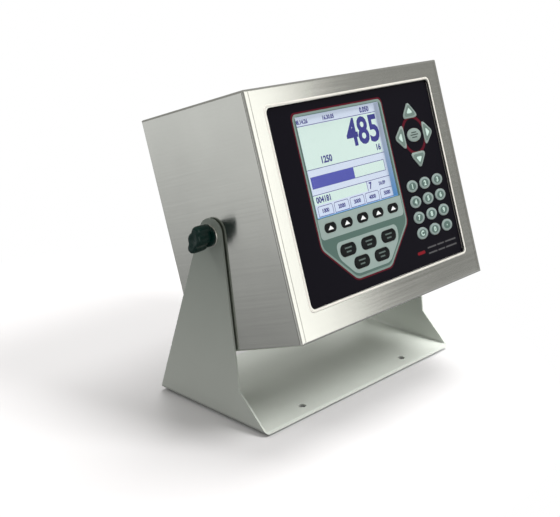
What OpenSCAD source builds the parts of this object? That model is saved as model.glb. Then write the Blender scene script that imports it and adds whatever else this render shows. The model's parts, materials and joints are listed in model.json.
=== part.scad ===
// A panel weighing indicator: a sheet-steel enclosure with a keypad and display,
// carried on a bent steel stand between two clamping knobs.
// X runs along the width, the panel faces -Y, and Z is up.
// The origin is the middle of the stand's four fixing holes, on the underside of its base.

/* [Enclosure] */
// Width of the enclosure
box_w = 272; // [257:1:320]
// Height of the enclosure, square to its depth
box_h = 210; // [202:1:260]
// Depth of the enclosure, from the front sheet to the rear flange
box_d = 127; // [110:1:150]
// Thickness of the enclosure's sheet
sheet = 1.5; // [1:0.1:1.8]
// Outer radius of the enclosure's folded and dressed edges
corner_r = 2; // [1.9:0.1:6]
// Lean of the panel, back from upright
tilt = 21; // [0:1:45]
// Distance from the front sheet back to the tilt axis
pivot_back = 72; // [60:1:80]
// Distance of the tilt axis below the enclosure's middle
pivot_drop = 3.5; // [0:0.5:10]

/* [Stand] */
// Thickness of the stand's sheet
stand_t = 2; // [1.5:0.1:3]
// Gap between the enclosure's side and the leg
leg_gap = 1.2; // [1:0.1:4]
// Depth of the stand's base
base_d = 130; // [120:1:160]
// Distance from the middle of the base back to the tilt axis
pivot_y = 8; // [0:1:16]
// Height of the tilt axis over the base's underside
pivot_h = 160; // [150:1:200]
// Radius of the leg's rounded top
leg_top_r = 12.6; // [11:0.1:18]
// Height of the rounded top's centre over the tilt axis
leg_top_rise = 2.3; // [0:0.1:5]
// Height of the knee where the leg's front edge flares out
knee_h = 30; // [15:1:60]
// Distance from the base's front edge back to the knee
knee_back = 33.6; // [15:0.1:40]
// Inner radius of the bend between base and leg
bend_r = 2; // [1:0.5:5]
// Diameter of the base's fixing holes
base_hole_d = 7; // [4:0.5:9]
// Distance of a fixing hole's centre from the base's ends
base_hole_in_x = 63; // [40:0.1:90]
// Distance of a fixing hole's centre from the base's front and rear edges
base_hole_in_y = 14.2; // [12:0.1:35]
// Diameter of a rubber foot
foot_d = 12.7; // [8:0.1:18]
// Height of a rubber foot
foot_h = 2.5; // [1.5:0.1:6]
// Distance of a foot's centre from the base's ends
foot_in_x = 16; // [12:0.5:30]
// Distance of a foot's centre from the base's front and rear edges
foot_in_y = 13; // [10:0.5:30]

/* [Tilt knobs] */
// Diameter of the clamping stud
stud_d = 6.35; // [5:0.05:8]
// Length of the clamping stud inside the enclosure's side
stud_in = 9; // [6:0.5:12]
// Length of the knob along its axis
knob_len = 20; // [16:0.5:30]
// Radius of the knob's middle
knob_hub_r = 6.8; // [5:0.1:8]
// Radius of the round edge of each wing
knob_wing_r = 4; // [3:0.1:5]
// Reach of each wing's tip from the axis
knob_reach = 12.6; // [11:0.1:18]
// Turn of the wings away from upright
knob_turn = 14; // [0:1:90]
// Diameter of the washer under the knob
washer_d = 19; // [16:0.5:24]
// Thickness of the washer under the knob
washer_t = 1.6; // [1:0.1:3]
// Diameter of the threaded boss inside the enclosure's side
boss_d = 16; // [13:0.5:22]
// Length of the threaded boss
boss_l = 17; // [15:0.5:25]

/* [Front panel] */
// Width of the front sheet on each side of the panel opening
bezel_side = 20.7; // [19:0.1:25]
// Height of the front sheet over the panel opening
bezel_top = 17.4; // [16:0.1:20]
// Height of the front sheet under the panel opening
bezel_bottom = 24.6; // [23:0.1:30]
// Corner radius of the opening
opening_r = 5; // [2:0.5:9]
// Thickness of the gasket behind the front sheet
gasket_t = 0.8; // [0.5:0.1:2]
// Overlap of the membrane behind the front sheet
panel_lap = 5; // [3:0.5:6]
// Thickness of the keypad's overlay
overlay_t = 0.8; // [0.5:0.1:1.5]
// Thickness of the keypad's spacer layer
spacer_t = 1.3; // [1.3:0.1:2]
// Thickness of the keypad's circuit layer
circuit_t = 0.6; // [0.4:0.1:1.5]
// Thickness of the backing plate
backing_t = 1.5; // [1:0.1:3]
// Width of the backing plate's rim outside the membrane
backing_rim = 7; // [7:0.5:8]

/* [Keys] */
// How far a key stands out of the overlay
key_proud = 0.5; // [0.4:0.1:1.2]
// Travel of a key
key_travel = 0.4; // [0.2:0.1:0.4]
// Width of a soft key
soft_w = 15.6; // [12:0.1:18]
// Height of a soft key
soft_h = 8; // [6:0.1:10]
// Spacing of the soft keys
soft_pitch = 22.4; // [21:0.1:24]
// Width of a function key
function_w = 21.7; // [16:0.1:24]
// Height of a function key
function_h = 10.6; // [8:0.1:11.4]
// Spacing of the function keys in a row
function_pitch = 29.2; // [27:0.1:32]
// Width of a number key
number_w = 17; // [13:0.1:18]
// Height of a number key
number_h = 11; // [9:0.1:12]
// Spacing of the number keys along a row
number_pitch_x = 20.4; // [20.2:0.1:22]
// Spacing of the number keys' rows
number_pitch_z = 14.8; // [14.2:0.1:15.4]
// Width of the enter key
enter_w = 21.6; // [18:0.1:24]
// Height of the enter key
enter_h = 12.6; // [9:0.1:15]
// Length of an arrow key across its point
arrow_w = 20; // [16:0.1:22]
// Height of an arrow key towards its point
arrow_h = 14; // [11:0.1:15]
// Distance of the side arrows from the enter key's middle
arrow_reach_x = 21.9; // [21:0.1:23]
// Distance of the upper and lower arrows from the enter key's middle
arrow_reach_z = 23; // [20:0.1:24]

/* [Display] */
// Width of the display's picture
lcd_w = 115.2; // [105:0.1:116]
// Height of the display's picture
lcd_h = 86.4; // [80:0.1:88]
// Place of the picture's middle to the left of the enclosure's middle
lcd_left = 22.9; // [21:0.1:25]
// Height of the picture's middle over the enclosure's middle
lcd_up = 32.7; // [31:0.1:34]
// Depth of the display's metal frame
lcd_frame_d = 8; // [7:0.5:12]
// Thickness of the display's glass
lcd_glass_t = 2.2; // [1.5:0.1:3]

/* [Electronics] */
// Thickness of the circuit boards
board_t = 1.6; // [1:0.1:2.4]
// Depth of the main boards behind the backing plate
board_back = 36; // [30:1:42]
// Share of the boards' width that the processor board takes, beside the power supply board
cpu_share = 0.8; // [0.76:0.01:0.82]
// Height of the boards
board_h = 130; // [120:1:150]
// Width across the flats of a standoff
standoff_af = 6; // [5:0.5:8]
// Diameter of the small screws
screw_d = 3; // [2.5:0.1:3.5]

/* [Back cover] */
// Width of the flange round the opening in the enclosure's rear
rear_flange = 21; // [18:0.5:30]
// Overlap of the back plate over the rear opening's edge
cover_lap = 13; // [12:0.5:14]
// Thickness of the back plate
cover_t = 1.5; // [1:0.1:3]
// Thickness of the back gasket
seal_t = 1.5; // [1:0.1:3]
// Diameter of the back plate's screws
cover_screw_d = 4; // [3:0.1:5]
// Number of cord grips
grip_count = 4; // [1:1:4]
// Spacing of the cord grips
grip_pitch = 40; // [32:1:44]
// Height of the cord grips over the lower edge of the rear opening
grip_up = 24; // [18:1:34]
// Diameter of a cord grip's thread
grip_thread_d = 15; // [12:0.5:16]
// Width across the flats of a cord grip
grip_af = 22; // [20:0.5:25]

/* [Hidden] */
$fn = 64;
// Overrun of a cut past the surface that it goes through
over = 1;
// Clearance between flat faces of pieces that move on each other
slip = 0.05;
// Radial clearance of a stud in its thread, of a stud in a plain hole and of a key in its aperture
thread_fit = 0.05;
hole_fit = 0.3;
key_fit = 0.25;

// Stand and clamping knobs
leg_in = box_w / 2 + leg_gap;
leg_out = leg_in + stand_t;
base_hole_x = 2 * (leg_out - base_hole_in_x);
base_hole_y = base_d - 2 * base_hole_in_y;
washer_out = leg_out + slip + washer_t;
knob_in = washer_out + slip;
knob_out = knob_in + knob_len;
knob_edge_r = 4;
stud_tip = box_w / 2 - sheet - stud_in;
stud_grip = 12;
spacer_d = 18;
boss_floor = 2;
boss_bore = boss_l - boss_floor;
neck_r = 7.6;
neck_l = 2.5;

// Depths of the panel's layers behind the front sheet's outer face
overlay_y = sheet + gasket_t;
spacer_y = overlay_y + overlay_t;
circuit_y = spacer_y + spacer_t;
backing_y = circuit_y + circuit_t;
behind_y = backing_y + backing_t;
board_y = behind_y + board_back;
cover_y = box_d + seal_t;
cover_out = cover_y + cover_t;

// Panel opening, and the share of its nominal size that the panel's and the boards' layout keeps
opening_w = box_w - 2 * bezel_side;
opening_h = box_h - bezel_top - bezel_bottom;
opening_z = (bezel_bottom - bezel_top) / 2;
nominal_w = 230.6;
nominal_h = 168;
layout_share = min(opening_w / nominal_w, opening_h / nominal_h);

// Panel outline
membrane_w = opening_w + 2 * panel_lap;
membrane_h = opening_h + 2 * panel_lap;
membrane_r = 6;
gasket_in = 1;
backing_w = membrane_w + 2 * backing_rim;
backing_h = membrane_h + 2 * backing_rim;
panel_stud_d = 3;
panel_stud_out = 5;
panel_stud_l = behind_y - sheet + panel_stud_out;
panel_nut_af = 5.5;
panel_nut_t = 2.4;

// Keys
lip_t = 0.6;
lip_out = 0.7;
dome_t = spacer_t - 2 * slip - lip_t - key_travel;
dome_d = 6.5;
soft_x = -22.5;
soft_z = -20.1;
function_x = -21.7;
function_top_z = -42.7;
function_low_z = -56.5;
arrows_x = 78.1;
arrows_z = 39.2;
arrow_corner_r = 3;
number_x = 78.4;
number_top_z = -6.5;
tail_left = 60;
tail_down = 64;
tail_place = layout_share * [-tail_left, -tail_down];
tail_w = 20;
tail_t = 0.4;

// Display
lcd_place = layout_share * [-lcd_left, lcd_up];
pane_rim = 4;
window_rim = 1.5;
frame_rim_x = 19;
frame_rim_z = 9.5;
frame_wall = 0.8;
frame_open_rim = 3;
glass_rim = 8;
ear_w = 8;
ear_in = 3;
backlight_t = lcd_frame_d - frame_wall - lcd_glass_t;
lcd_frame_w = layout_share * (lcd_w + 2 * frame_rim_x);
lcd_frame_h = layout_share * (lcd_h + 2 * frame_rim_z);
lcd_board_y = behind_y + lcd_frame_d;
lcd_board_w = lcd_frame_w + 2 * ear_w;

// Boards
boards_w = 245;
boards_right = 4.5;
boards_z = -5;
board_gap = 7;
cpu_w = (boards_w - board_gap) * cpu_share;
supply_w = (boards_w - board_gap) * (1 - cpu_share);
cpu_place = layout_share * [boards_right - boards_w / 2 + cpu_w / 2, boards_z];
supply_place = layout_share * [boards_right + boards_w / 2 - supply_w / 2, boards_z];
board_hole_in = 5;
screw_l = 5.4;
tap_l = 6;
screw_head_d = 6;
screw_head_t = 2;
processor_w = 28;
processor_t = 3;
memory_w = 12;
memory_h = 20;
memory_x = 34;
terminal_w = 26;
terminal_h = 12;
terminal_t = 11;
terminal_count = 5;
terminal_pitch = 32;
terminal_edge = 9;
battery_d = 20;
battery_t = 4.5;
battery_left = 64;
card_w = 90;
card_d = 40;
card_left = 10;
card_up = 40;
socket_t = 6;
socket_h = 8;
capacitor_d = 13;
capacitor_l = 24;
capacitor_pitch = 18;
capacitor_up = 46;
core_w = 38;
core_h = 46;
core_t = 16;
winding_w = 28;
winding_h = 34;
winding_t = 34;
winding_r = 5;
transformer_down = 33;
ribbon_w = 34;
ribbon_t = 1.2;
ribbon_z = 20;
ribbon_rise = 9;
plug_t = 5;
plug_h = 6;

// Back cover
rear_w = box_w - 2 * rear_flange;
rear_h = box_h - 2 * rear_flange;
cover_w = rear_w + 2 * cover_lap;
cover_h = rear_h + 2 * cover_lap;
cover_r = 8;
rear_r = 6;
cover_screw_l = 8;
cover_head_d = 8;
cover_head_t = 2.6;
socket_af = 2.5;
socket_l = 1.3;
grip_down = rear_h / 2 - grip_up;
grip_hex_t = 6;
grip_bore_d = 9;
grip_neck_d = 16;
grip_neck_l = 10;
grip_inner_l = 10;
grip_fit = 0.2;
locknut_t = 4;
dome_nut_l = 18;
dome_end_d = 15;
dome_straight_l = 10;
plug_y = cover_out + grip_hex_t + slip + dome_nut_l;
plug_in = 10;
plug_head_d = 12;
plug_head_t = 1.5;

// Point where a line from p touches a circle of radius r about c, on the side given by its sign
function touch(p, c, r, side) =
    let (away = p - c, lean = acos(r / norm(away)), heading = atan2(away.y, away.x) + side * lean)
    c + r * [cos(heading), sin(heading)];

// Outward normal of the edge from p to q of an outline that runs anticlockwise
function outward(p, q) = let (d = (q - p) / norm(q - p)) [d.y, -d.x];

// Places of n things spread evenly over a length, about zero
function spread(n, length) = [for (i = [0:n - 1]) n == 1 ? 0 : (i / (n - 1) - 1 / 2) * length];

// Places around a rectangle's edge, given how many stand along its width and along its height
function ring(w, h, columns, rows) = concat(
    [for (x = spread(columns, w), side = [-1, 1]) [x, side * h / 2]],
    [for (i = [1:rows - 2], side = [-1, 1]) [side * w / 2, spread(rows, h)[i]]]
);

// The four corners of a rectangle
function corners(w, h) = [for (x = spread(2, w), z = spread(2, h)) [x, z]];

// Places of the fasteners
panel_stud_places = ring(backing_w - backing_rim, backing_h - backing_rim, 4, 3);
cover_screw_places = ring(cover_w - cover_lap, cover_h - cover_lap, 4, 3);
cpu_places = layout_share * corners(cpu_w - 2 * board_hole_in, board_h - 2 * board_hole_in);
supply_places = layout_share * corners(supply_w - 2 * board_hole_in, board_h - 2 * board_hole_in);
ear_places = corners(lcd_board_w - 2 * ear_in, lcd_frame_h - 2 * ear_in);

// Each key's outline, place in X and Z, turn and colour, in the order of the names that end NODES
keys = concat(
    [for (x = spread(5, 4 * soft_pitch)) ["soft", [soft_x + x, soft_z], 0, "#101312"]],
    [for (x = spread(3, 2 * function_pitch)) ["function", [function_x + x, function_top_z], 0, "#101312"]],
    [for (x = spread(2, function_pitch)) ["function", [function_x + x, function_low_z], 0, "#101312"]],
    [for (i = [0:3])
        let (heading = 90 - i * 90)
        ["arrow", [arrows_x + arrow_reach_x * cos(heading), arrows_z + arrow_reach_z * sin(heading)],
         -i * 90, "#8b9290"]],
    [["enter", [arrows_x, arrows_z], 0, "#8b9290"]],
    [for (row = [0:3], column = [-1:1])
        ["number", [number_x + column * number_pitch_x, number_top_z - row * number_pitch_z], 0, "#7f918c"]]
);

// The enclosure's frame: Y from the front sheet inwards, Z up the panel, about the enclosure's middle
module in_box() {
    translate([0, pivot_y, pivot_h])
        rotate([-tilt, 0, 0])
            translate([0, -pivot_back, pivot_drop])
                children();
}

// The tilt axis, with +X pointing out of the enclosure on the given side
module at_pivot(side) {
    translate([0, pivot_y, pivot_h]) rotate([0, 0, side < 0 ? 180 : 0]) children();
}

// Extrudes an outline in X and Z along Y, from y over a thickness
module slab(y, thickness) {
    translate([0, y + thickness, 0]) rotate([90, 0, 0]) linear_extrude(thickness) children();
}

// Extrudes an outline in Y and Z along X, from x over a thickness
module across(x, thickness) {
    translate([x, 0, 0]) rotate([90, 0, 90]) linear_extrude(thickness) children();
}

module round_rect(w, h, r) {
    square([w - 2 * r, h], center = true);
    square([w, h - 2 * r], center = true);
    for (place = corners(w - 2 * r, h - 2 * r)) translate(place) circle(r);
}

// A frame with round outer and inner corners
module round_ring(w, h, r, hole_w, hole_h, hole_r) {
    difference() {
        round_rect(w, h, r);
        round_rect(hole_w, hole_h, hole_r);
    }
}

// An outline of the panel's or the boards' layout, at the share of its nominal size that it keeps
module laid_out() {
    scale([layout_share, layout_share]) children();
}

// A convex outline, given anticlockwise, grown by a radius
module round_polygon(points, r) {
    polygon(points);
    for (i = [0:len(points) - 1]) {
        p = points[i];
        q = points[(i + 1) % len(points)];
        n = r * outward(p, q);
        translate(p) circle(r);
        polygon([p, p + n, q + n, q]);
    }
}

module pill(w, h) {
    square([w - h, h], center = true);
    for (s = [-1, 1]) translate([s * (w - h) / 2, 0]) circle(d = h);
}

module hexagon(across_flats) {
    circle(d = across_flats / cos(30), $fn = 6);
}

// A strip of even thickness along a line of points
module strip(points, thickness) {
    for (i = [0:len(points) - 2]) {
        p = points[i];
        q = points[i + 1];
        n = thickness / 2 * outward(p, q);
        polygon([p + n, q + n, q - n, p - n]);
        if (i > 0) translate(p) circle(d = thickness);
    }
}

// A block with all its edges rounded, from y = 0 back
module round_block(w, d, h, r) {
    intersection() {
        slab(0, d) round_rect(w, h, r);
        across(-w / 2, w) translate([d / 2, 0]) round_rect(d, h, r);
        translate([0, d / 2, -h / 2]) linear_extrude(h) round_rect(w, d, r);
    }
}

module stand_bracket() {
    front = [-base_d / 2, 0];
    knee = [-base_d / 2 + knee_back, knee_h];
    top = [pivot_y, pivot_h + leg_top_rise];
    rear = [base_d / 2, 0];
    profile_h = 2 * (pivot_h + leg_top_rise + leg_top_r);
    color("silver")
    difference() {
        intersection() {
            slab(-base_d / 2, base_d) translate([0, profile_h / 2])
                round_ring(2 * leg_out, profile_h, bend_r + stand_t,
                           2 * leg_in, profile_h - 2 * stand_t, bend_r);
            across(-leg_out - over, 2 * (leg_out + over)) {
                polygon([front, rear, touch(rear, top, leg_top_r, 1), top, touch(knee, top, leg_top_r, -1), knee]);
                translate(top) circle(leg_top_r);
            }
        }
        for (place = corners(base_hole_x, base_hole_y))
            translate([place.x, place.y, -over]) cylinder(d = base_hole_d, h = stand_t + 2 * over);
        across(-leg_out - over, 2 * (leg_out + over))
            translate([pivot_y, pivot_h]) circle(stud_d / 2 + hole_fit);
    }
}

module stand_feet() {
    color("dimgray")
    for (place = corners(2 * (leg_out - foot_in_x), base_d - 2 * foot_in_y))
        translate([place.x, place.y, -foot_h]) cylinder(d = foot_d, h = foot_h);
}

// The knob's body: a hub with two flat wings, round at the outer end, on a short round neck
module tilt_knob(side) {
    color("#0e1f1c")
    at_pivot(side) rotate([side * knob_turn, 0, 0]) difference() {
        union() {
            across(knob_in, neck_l + over) circle(neck_r);
            intersection() {
                across(knob_in + neck_l, knob_len - neck_l) {
                    circle(knob_hub_r);
                    square([2 * knob_wing_r, 2 * (knob_reach - knob_wing_r)], center = true);
                    for (s = [-1, 1]) translate([0, s * (knob_reach - knob_wing_r)]) circle(knob_wing_r);
                }
                rotate([0, 90, 0]) rotate_extrude() {
                    square([knob_reach - knob_edge_r, knob_out]);
                    square([knob_reach, knob_out - knob_edge_r]);
                    translate([knob_reach - knob_edge_r, knob_out - knob_edge_r]) circle(knob_edge_r);
                }
            }
        }
        across(knob_in - over, stud_grip + over) circle(stud_d / 2 + thread_fit);
    }
}

module knob_stud(side) {
    color("lightgray")
    at_pivot(side) across(stud_tip, knob_in + stud_grip - stud_tip) circle(d = stud_d);
}

module knob_washer(side) {
    color("gainsboro")
    at_pivot(side) across(leg_out + slip, washer_t) difference() {
        circle(d = washer_d);
        circle(stud_d / 2 + hole_fit);
    }
}

module spacer_washers() {
    color("black")
    for (side = [-1, 1]) at_pivot(side) across(box_w / 2, leg_gap - slip) difference() {
        circle(d = spacer_d);
        circle(stud_d / 2 + hole_fit);
    }
}

module pivot_bosses() {
    color("lightgray")
    for (side = [-1, 1]) at_pivot(side) difference() {
        across(box_w / 2 - sheet - boss_l, boss_l) circle(d = boss_d);
        across(box_w / 2 - sheet - boss_bore, boss_bore + over) circle(stud_d / 2 + thread_fit);
    }
}

module enclosure_shell() {
    color("silver")
    in_box() {
        difference() {
            round_block(box_w, box_d, box_h, corner_r);
            translate([0, sheet, 0])
                round_block(box_w - 2 * sheet, box_d - 2 * sheet, box_h - 2 * sheet, corner_r - sheet);
            slab(-over, sheet + 2 * over) translate([0, opening_z]) round_rect(opening_w, opening_h, opening_r);
            slab(box_d - sheet - over, sheet + 2 * over) {
                round_rect(rear_w, rear_h, rear_r);
                for (place = cover_screw_places) translate(place) circle(cover_screw_d / 2 + thread_fit);
            }
            across(-box_w / 2 - over, box_w + 2 * over)
                translate([pivot_back, -pivot_drop]) circle(stud_d / 2 + hole_fit);
        }
        slab(sheet, panel_stud_l) translate([0, opening_z])
            for (place = panel_stud_places) translate(place) circle(d = panel_stud_d);
    }
}

module panel_gasket() {
    color("black")
    in_box() slab(sheet, gasket_t) translate([0, opening_z])
        round_ring(membrane_w, membrane_h, membrane_r,
                   opening_w + 2 * gasket_in, opening_h + 2 * gasket_in, opening_r);
}

// An outline of the given kind of key, grown all round
module key_outline(kind, grow) {
    if (kind == "soft") pill(soft_w + 2 * grow, soft_h + 2 * grow);
    if (kind == "function") pill(function_w + 2 * grow, function_h + 2 * grow);
    if (kind == "number") pill(number_w + 2 * grow, number_h + 2 * grow);
    if (kind == "enter") pill(enter_w + 2 * grow, enter_h + 2 * grow);
    if (kind == "arrow") {
        half = arrow_w / 2 - arrow_corner_r;
        rise = arrow_h / 2 - arrow_corner_r;
        round_polygon([[-half, -rise], [half, -rise], [0, rise]], arrow_corner_r + grow);
    }
}

module at_key(key) {
    laid_out() translate(key[1]) rotate(key[2]) children();
}

// All the keys' outlines, grown all round
module key_outlines(grow) {
    for (key = keys) at_key(key) key_outline(key[0], grow);
}

module lcd_rect(grow) {
    laid_out() translate([-lcd_left, lcd_up]) square([lcd_w + 2 * grow, lcd_h + 2 * grow], center = true);
}

module keypad_overlay() {
    color("#16191a")
    in_box() slab(overlay_y, overlay_t) difference() {
        translate([0, opening_z]) round_rect(membrane_w, membrane_h, membrane_r);
        lcd_rect(0);
        key_outlines(key_fit);
    }
}

// The spacer layer with its pockets, the circuit layer behind it and its tail
module keypad_circuit() {
    color("darkgoldenrod")
    in_box() {
        slab(spacer_y, spacer_t) difference() {
            translate([0, opening_z]) round_rect(membrane_w, membrane_h, membrane_r);
            lcd_rect(pane_rim);
            key_outlines(lip_out + key_fit);
        }
        slab(circuit_y, circuit_t) difference() {
            translate([0, opening_z]) round_rect(membrane_w, membrane_h, membrane_r);
            lcd_rect(window_rim);
        }
        slab(circuit_y, board_y - circuit_y) translate(tail_place) square([tail_w, tail_t], center = true);
    }
}

module key_domes() {
    color("silver")
    in_box() slab(circuit_y - dome_t, dome_t) for (key = keys)
        translate(layout_share * key[1]) circle(d = dome_d);
}

// One key: its cap, which stands in the overlay's aperture, and the lip that holds it behind
module panel_key(key) {
    color(key[3])
    in_box() {
        slab(overlay_y - key_proud, key_proud + overlay_t + slip + over / 4) at_key(key) key_outline(key[0], 0);
        slab(spacer_y + slip, lip_t) at_key(key) key_outline(key[0], lip_out);
    }
}

module backing_plate() {
    color("gray")
    in_box() slab(backing_y, backing_t) difference() {
        translate([0, opening_z]) round_rect(backing_w, backing_h, membrane_r);
        lcd_rect(window_rim);
        translate([0, opening_z])
            for (place = panel_stud_places) translate(place) circle(panel_stud_d / 2 + key_fit);
        translate(tail_place) square([tail_w + 2 * key_fit, tail_t + 2 * key_fit], center = true);
    }
}

module display_window() {
    color("azure")
    in_box() slab(spacer_y, spacer_t) lcd_rect(pane_rim - slip);
}

module lcd_frame() {
    color("lightgray")
    in_box() difference() {
        slab(behind_y, lcd_frame_d) translate(lcd_place) square([lcd_frame_w, lcd_frame_h], center = true);
        slab(behind_y + frame_wall, lcd_frame_d) translate(lcd_place)
            square([lcd_frame_w - 2 * frame_wall, lcd_frame_h - 2 * frame_wall], center = true);
        slab(behind_y - over, frame_wall + 2 * over) lcd_rect(frame_open_rim);
    }
}

module lcd_glass() {
    color("lightcyan")
    in_box() slab(behind_y + frame_wall, lcd_glass_t) lcd_rect(glass_rim);
}

// The display's circuit board, with the backlight on its front
module lcd_board() {
    color("seagreen")
    in_box() {
        slab(behind_y + frame_wall + lcd_glass_t, backlight_t) lcd_rect(glass_rim);
        slab(lcd_board_y, board_t) translate(lcd_place) difference() {
            square([lcd_board_w, lcd_frame_h], center = true);
            for (place = ear_places) translate(place) circle(screw_d / 2 + key_fit);
        }
    }
}

// One standoff from the backing plate back to y, tapped at that end
module standoff(place, y) {
    difference() {
        slab(behind_y, y - behind_y) translate(place) hexagon(standoff_af);
        slab(y - tap_l, tap_l + over) translate(place) circle(screw_d / 2 + thread_fit);
    }
}

module standoffs() {
    color("gold")
    in_box() {
        for (place = cpu_places) standoff(place + cpu_place, board_y);
        for (place = supply_places) standoff(place + supply_place, board_y);
        for (place = ear_places) standoff(place + lcd_place, lcd_board_y);
    }
}

// A main board with its corner holes
module main_board(centre, w, places) {
    color("seagreen")
    in_box() slab(board_y, board_t) translate(centre) difference() {
        laid_out() square([w, board_h], center = true);
        for (place = places) translate(place) circle(screw_d / 2 + key_fit);
    }
}

// What stands on the back of the processor board
module board_components() {
    rear = board_y + board_t;
    color("dimgray")
    in_box() {
        slab(rear, processor_t) translate(cpu_place) laid_out() {
            square(processor_w, center = true);
            for (s = [-1, 1]) translate([s * memory_x, 0]) square([memory_w, memory_h], center = true);
        }
        slab(rear, battery_t) translate(cpu_place) laid_out() translate([-battery_left, 0]) circle(d = battery_d);
        slab(rear, terminal_t) translate(cpu_place) laid_out()
            for (x = spread(terminal_count, (terminal_count - 1) * terminal_pitch))
                translate([x, terminal_edge - board_h / 2]) square([terminal_w, terminal_h], center = true);
        slab(rear, socket_h) translate(cpu_place) laid_out()
            translate([-card_left, card_up]) square([card_w, socket_t], center = true);
        slab(rear + socket_h, card_d) translate(cpu_place) laid_out()
            translate([-card_left, card_up]) square([card_w, board_t], center = true);
    }
}

// The transformer and the capacitors of the power supply
module supply_components() {
    rear = board_y + board_t;
    color("dimgray")
    in_box() {
        slab(rear, capacitor_l) translate(supply_place) laid_out()
            for (x = spread(2, capacitor_pitch)) translate([x, capacitor_up]) circle(d = capacitor_d);
        slab(rear, winding_t) translate(supply_place) laid_out()
            translate([0, -transformer_down]) round_rect(winding_w, winding_h, winding_r);
        slab(rear + (winding_t - core_t) / 2, core_t) translate(supply_place) laid_out()
            translate([0, -transformer_down]) square([core_w, core_h], center = true);
    }
}

// The flat cable from the display's board to the processor board, with a plug at each end
module ribbon_cable() {
    low = lcd_board_y + board_t;
    straight = (board_y - low) / 3;
    top_z = ribbon_z + ribbon_rise;
    color("lightslategray")
    in_box() {
        across(lcd_place.x - ribbon_w / 2, ribbon_w)
            strip([[low, ribbon_z], [low + straight, ribbon_z], [board_y - straight, top_z], [board_y, top_z]],
                  ribbon_t);
        slab(low, plug_t) translate([lcd_place.x, ribbon_z]) square([ribbon_w, plug_h], center = true);
        slab(board_y - plug_t, plug_t) translate([lcd_place.x, top_z]) square([ribbon_w, plug_h], center = true);
    }
}

// A pan-head screw whose head rests at y and whose shank points to the front
module small_screw(place, y) {
    slab(y - board_t - screw_l, board_t + screw_l + over / 4) translate(place) circle(d = screw_d);
    slab(y, screw_head_t) translate(place) circle(d = screw_head_d);
}

module inner_fasteners() {
    color("lightgray")
    in_box() {
        slab(behind_y, panel_nut_t) translate([0, opening_z]) for (place = panel_stud_places)
            translate(place) difference() {
                hexagon(panel_nut_af);
                circle(panel_stud_d / 2 + thread_fit);
            }
        for (place = cpu_places) small_screw(place + cpu_place, board_y + board_t);
        for (place = supply_places) small_screw(place + supply_place, board_y + board_t);
        for (place = ear_places) small_screw(place + lcd_place, lcd_board_y + board_t);
    }
}

module back_gasket() {
    color("black")
    in_box() slab(box_d, seal_t) difference() {
        round_ring(cover_w, cover_h, cover_r, rear_w, rear_h, rear_r);
        for (place = cover_screw_places) translate(place) circle(cover_screw_d / 2 + hole_fit);
    }
}

module back_plate() {
    color("silver")
    in_box() slab(cover_y, cover_t) difference() {
        round_rect(cover_w, cover_h, cover_r);
        for (place = cover_screw_places) translate(place) circle(cover_screw_d / 2 + hole_fit);
        for (x = spread(grip_count, (grip_count - 1) * grip_pitch))
            translate([x, -grip_down]) circle(grip_thread_d / 2 + grip_fit);
    }
}

module back_screws() {
    color("lightgray")
    in_box() difference() {
        for (place = cover_screw_places) {
            slab(cover_out - cover_screw_l, cover_screw_l + over / 4)
                translate(place) circle(d = cover_screw_d);
            slab(cover_out, cover_head_t) translate(place) circle(d = cover_head_d);
        }
        slab(cover_out + cover_head_t - socket_l, socket_l + over)
            for (place = cover_screw_places) translate(place) hexagon(socket_af);
    }
}

// Draws what belongs to each cord grip, about its axis
module at_grips() {
    for (x = spread(grip_count, (grip_count - 1) * grip_pitch)) translate([x, 0, -grip_down]) children();
}

module cord_grips() {
    color("#25282a")
    in_box() at_grips() difference() {
        union() {
            slab(cover_y - grip_inner_l, grip_inner_l + cover_t + over) circle(d = grip_thread_d);
            slab(cover_out, grip_hex_t) hexagon(grip_af);
            slab(cover_out + grip_hex_t - over, grip_neck_l + over) circle(d = grip_neck_d);
        }
        slab(cover_y - grip_inner_l - over, grip_inner_l + cover_t + grip_hex_t + grip_neck_l + 2 * over)
            circle(d = grip_bore_d);
    }
}

module grip_nuts() {
    color("#25282a")
    in_box() at_grips() {
        slab(cover_y - locknut_t, locknut_t) difference() {
            hexagon(grip_af);
            circle(grip_thread_d / 2 + thread_fit);
        }
        translate([0, cover_out + grip_hex_t + slip, 0]) rotate([-90, 0, 0]) difference() {
            union() {
                cylinder(d = grip_af, h = dome_straight_l);
                translate([0, 0, dome_straight_l])
                    cylinder(d1 = grip_af, d2 = dome_end_d, h = dome_nut_l - dome_straight_l);
            }
            translate([0, 0, -over]) cylinder(d = grip_neck_d + 2 * thread_fit, h = grip_neck_l + grip_fit + over);
            cylinder(d = grip_bore_d, h = dome_nut_l + over);
        }
    }
}

module grip_plugs() {
    color("black")
    in_box() at_grips() {
        slab(plug_y - plug_in, plug_in + over / 4) circle(grip_bore_d / 2 - thread_fit);
        slab(plug_y, plug_head_t) circle(d = plug_head_d);
    }
}

stand_bracket();
stand_feet();
tilt_knob(-1);  // left_tilt_knob
tilt_knob(1);  // right_tilt_knob
knob_stud(-1);  // left_knob_stud
knob_stud(1);  // right_knob_stud
knob_washer(-1);  // left_knob_washer
knob_washer(1);  // right_knob_washer
spacer_washers();
pivot_bosses();
enclosure_shell();
panel_gasket();
keypad_overlay();
keypad_circuit();
key_domes();
backing_plate();
display_window();
lcd_frame();
lcd_glass();
lcd_board();
standoffs();
main_board(cpu_place, cpu_w, cpu_places);  // cpu_board
board_components();
main_board(supply_place, supply_w, supply_places);  // supply_board
supply_components();
ribbon_cable();
inner_fasteners();
back_gasket();
back_plate();
back_screws();
cord_grips();
grip_nuts();
grip_plugs();
for (k = [0:len(keys) - 1])
    panel_key(keys[k]);
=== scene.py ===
"""Looks of a panel weighing indicator on its tilt stand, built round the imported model."""

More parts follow.
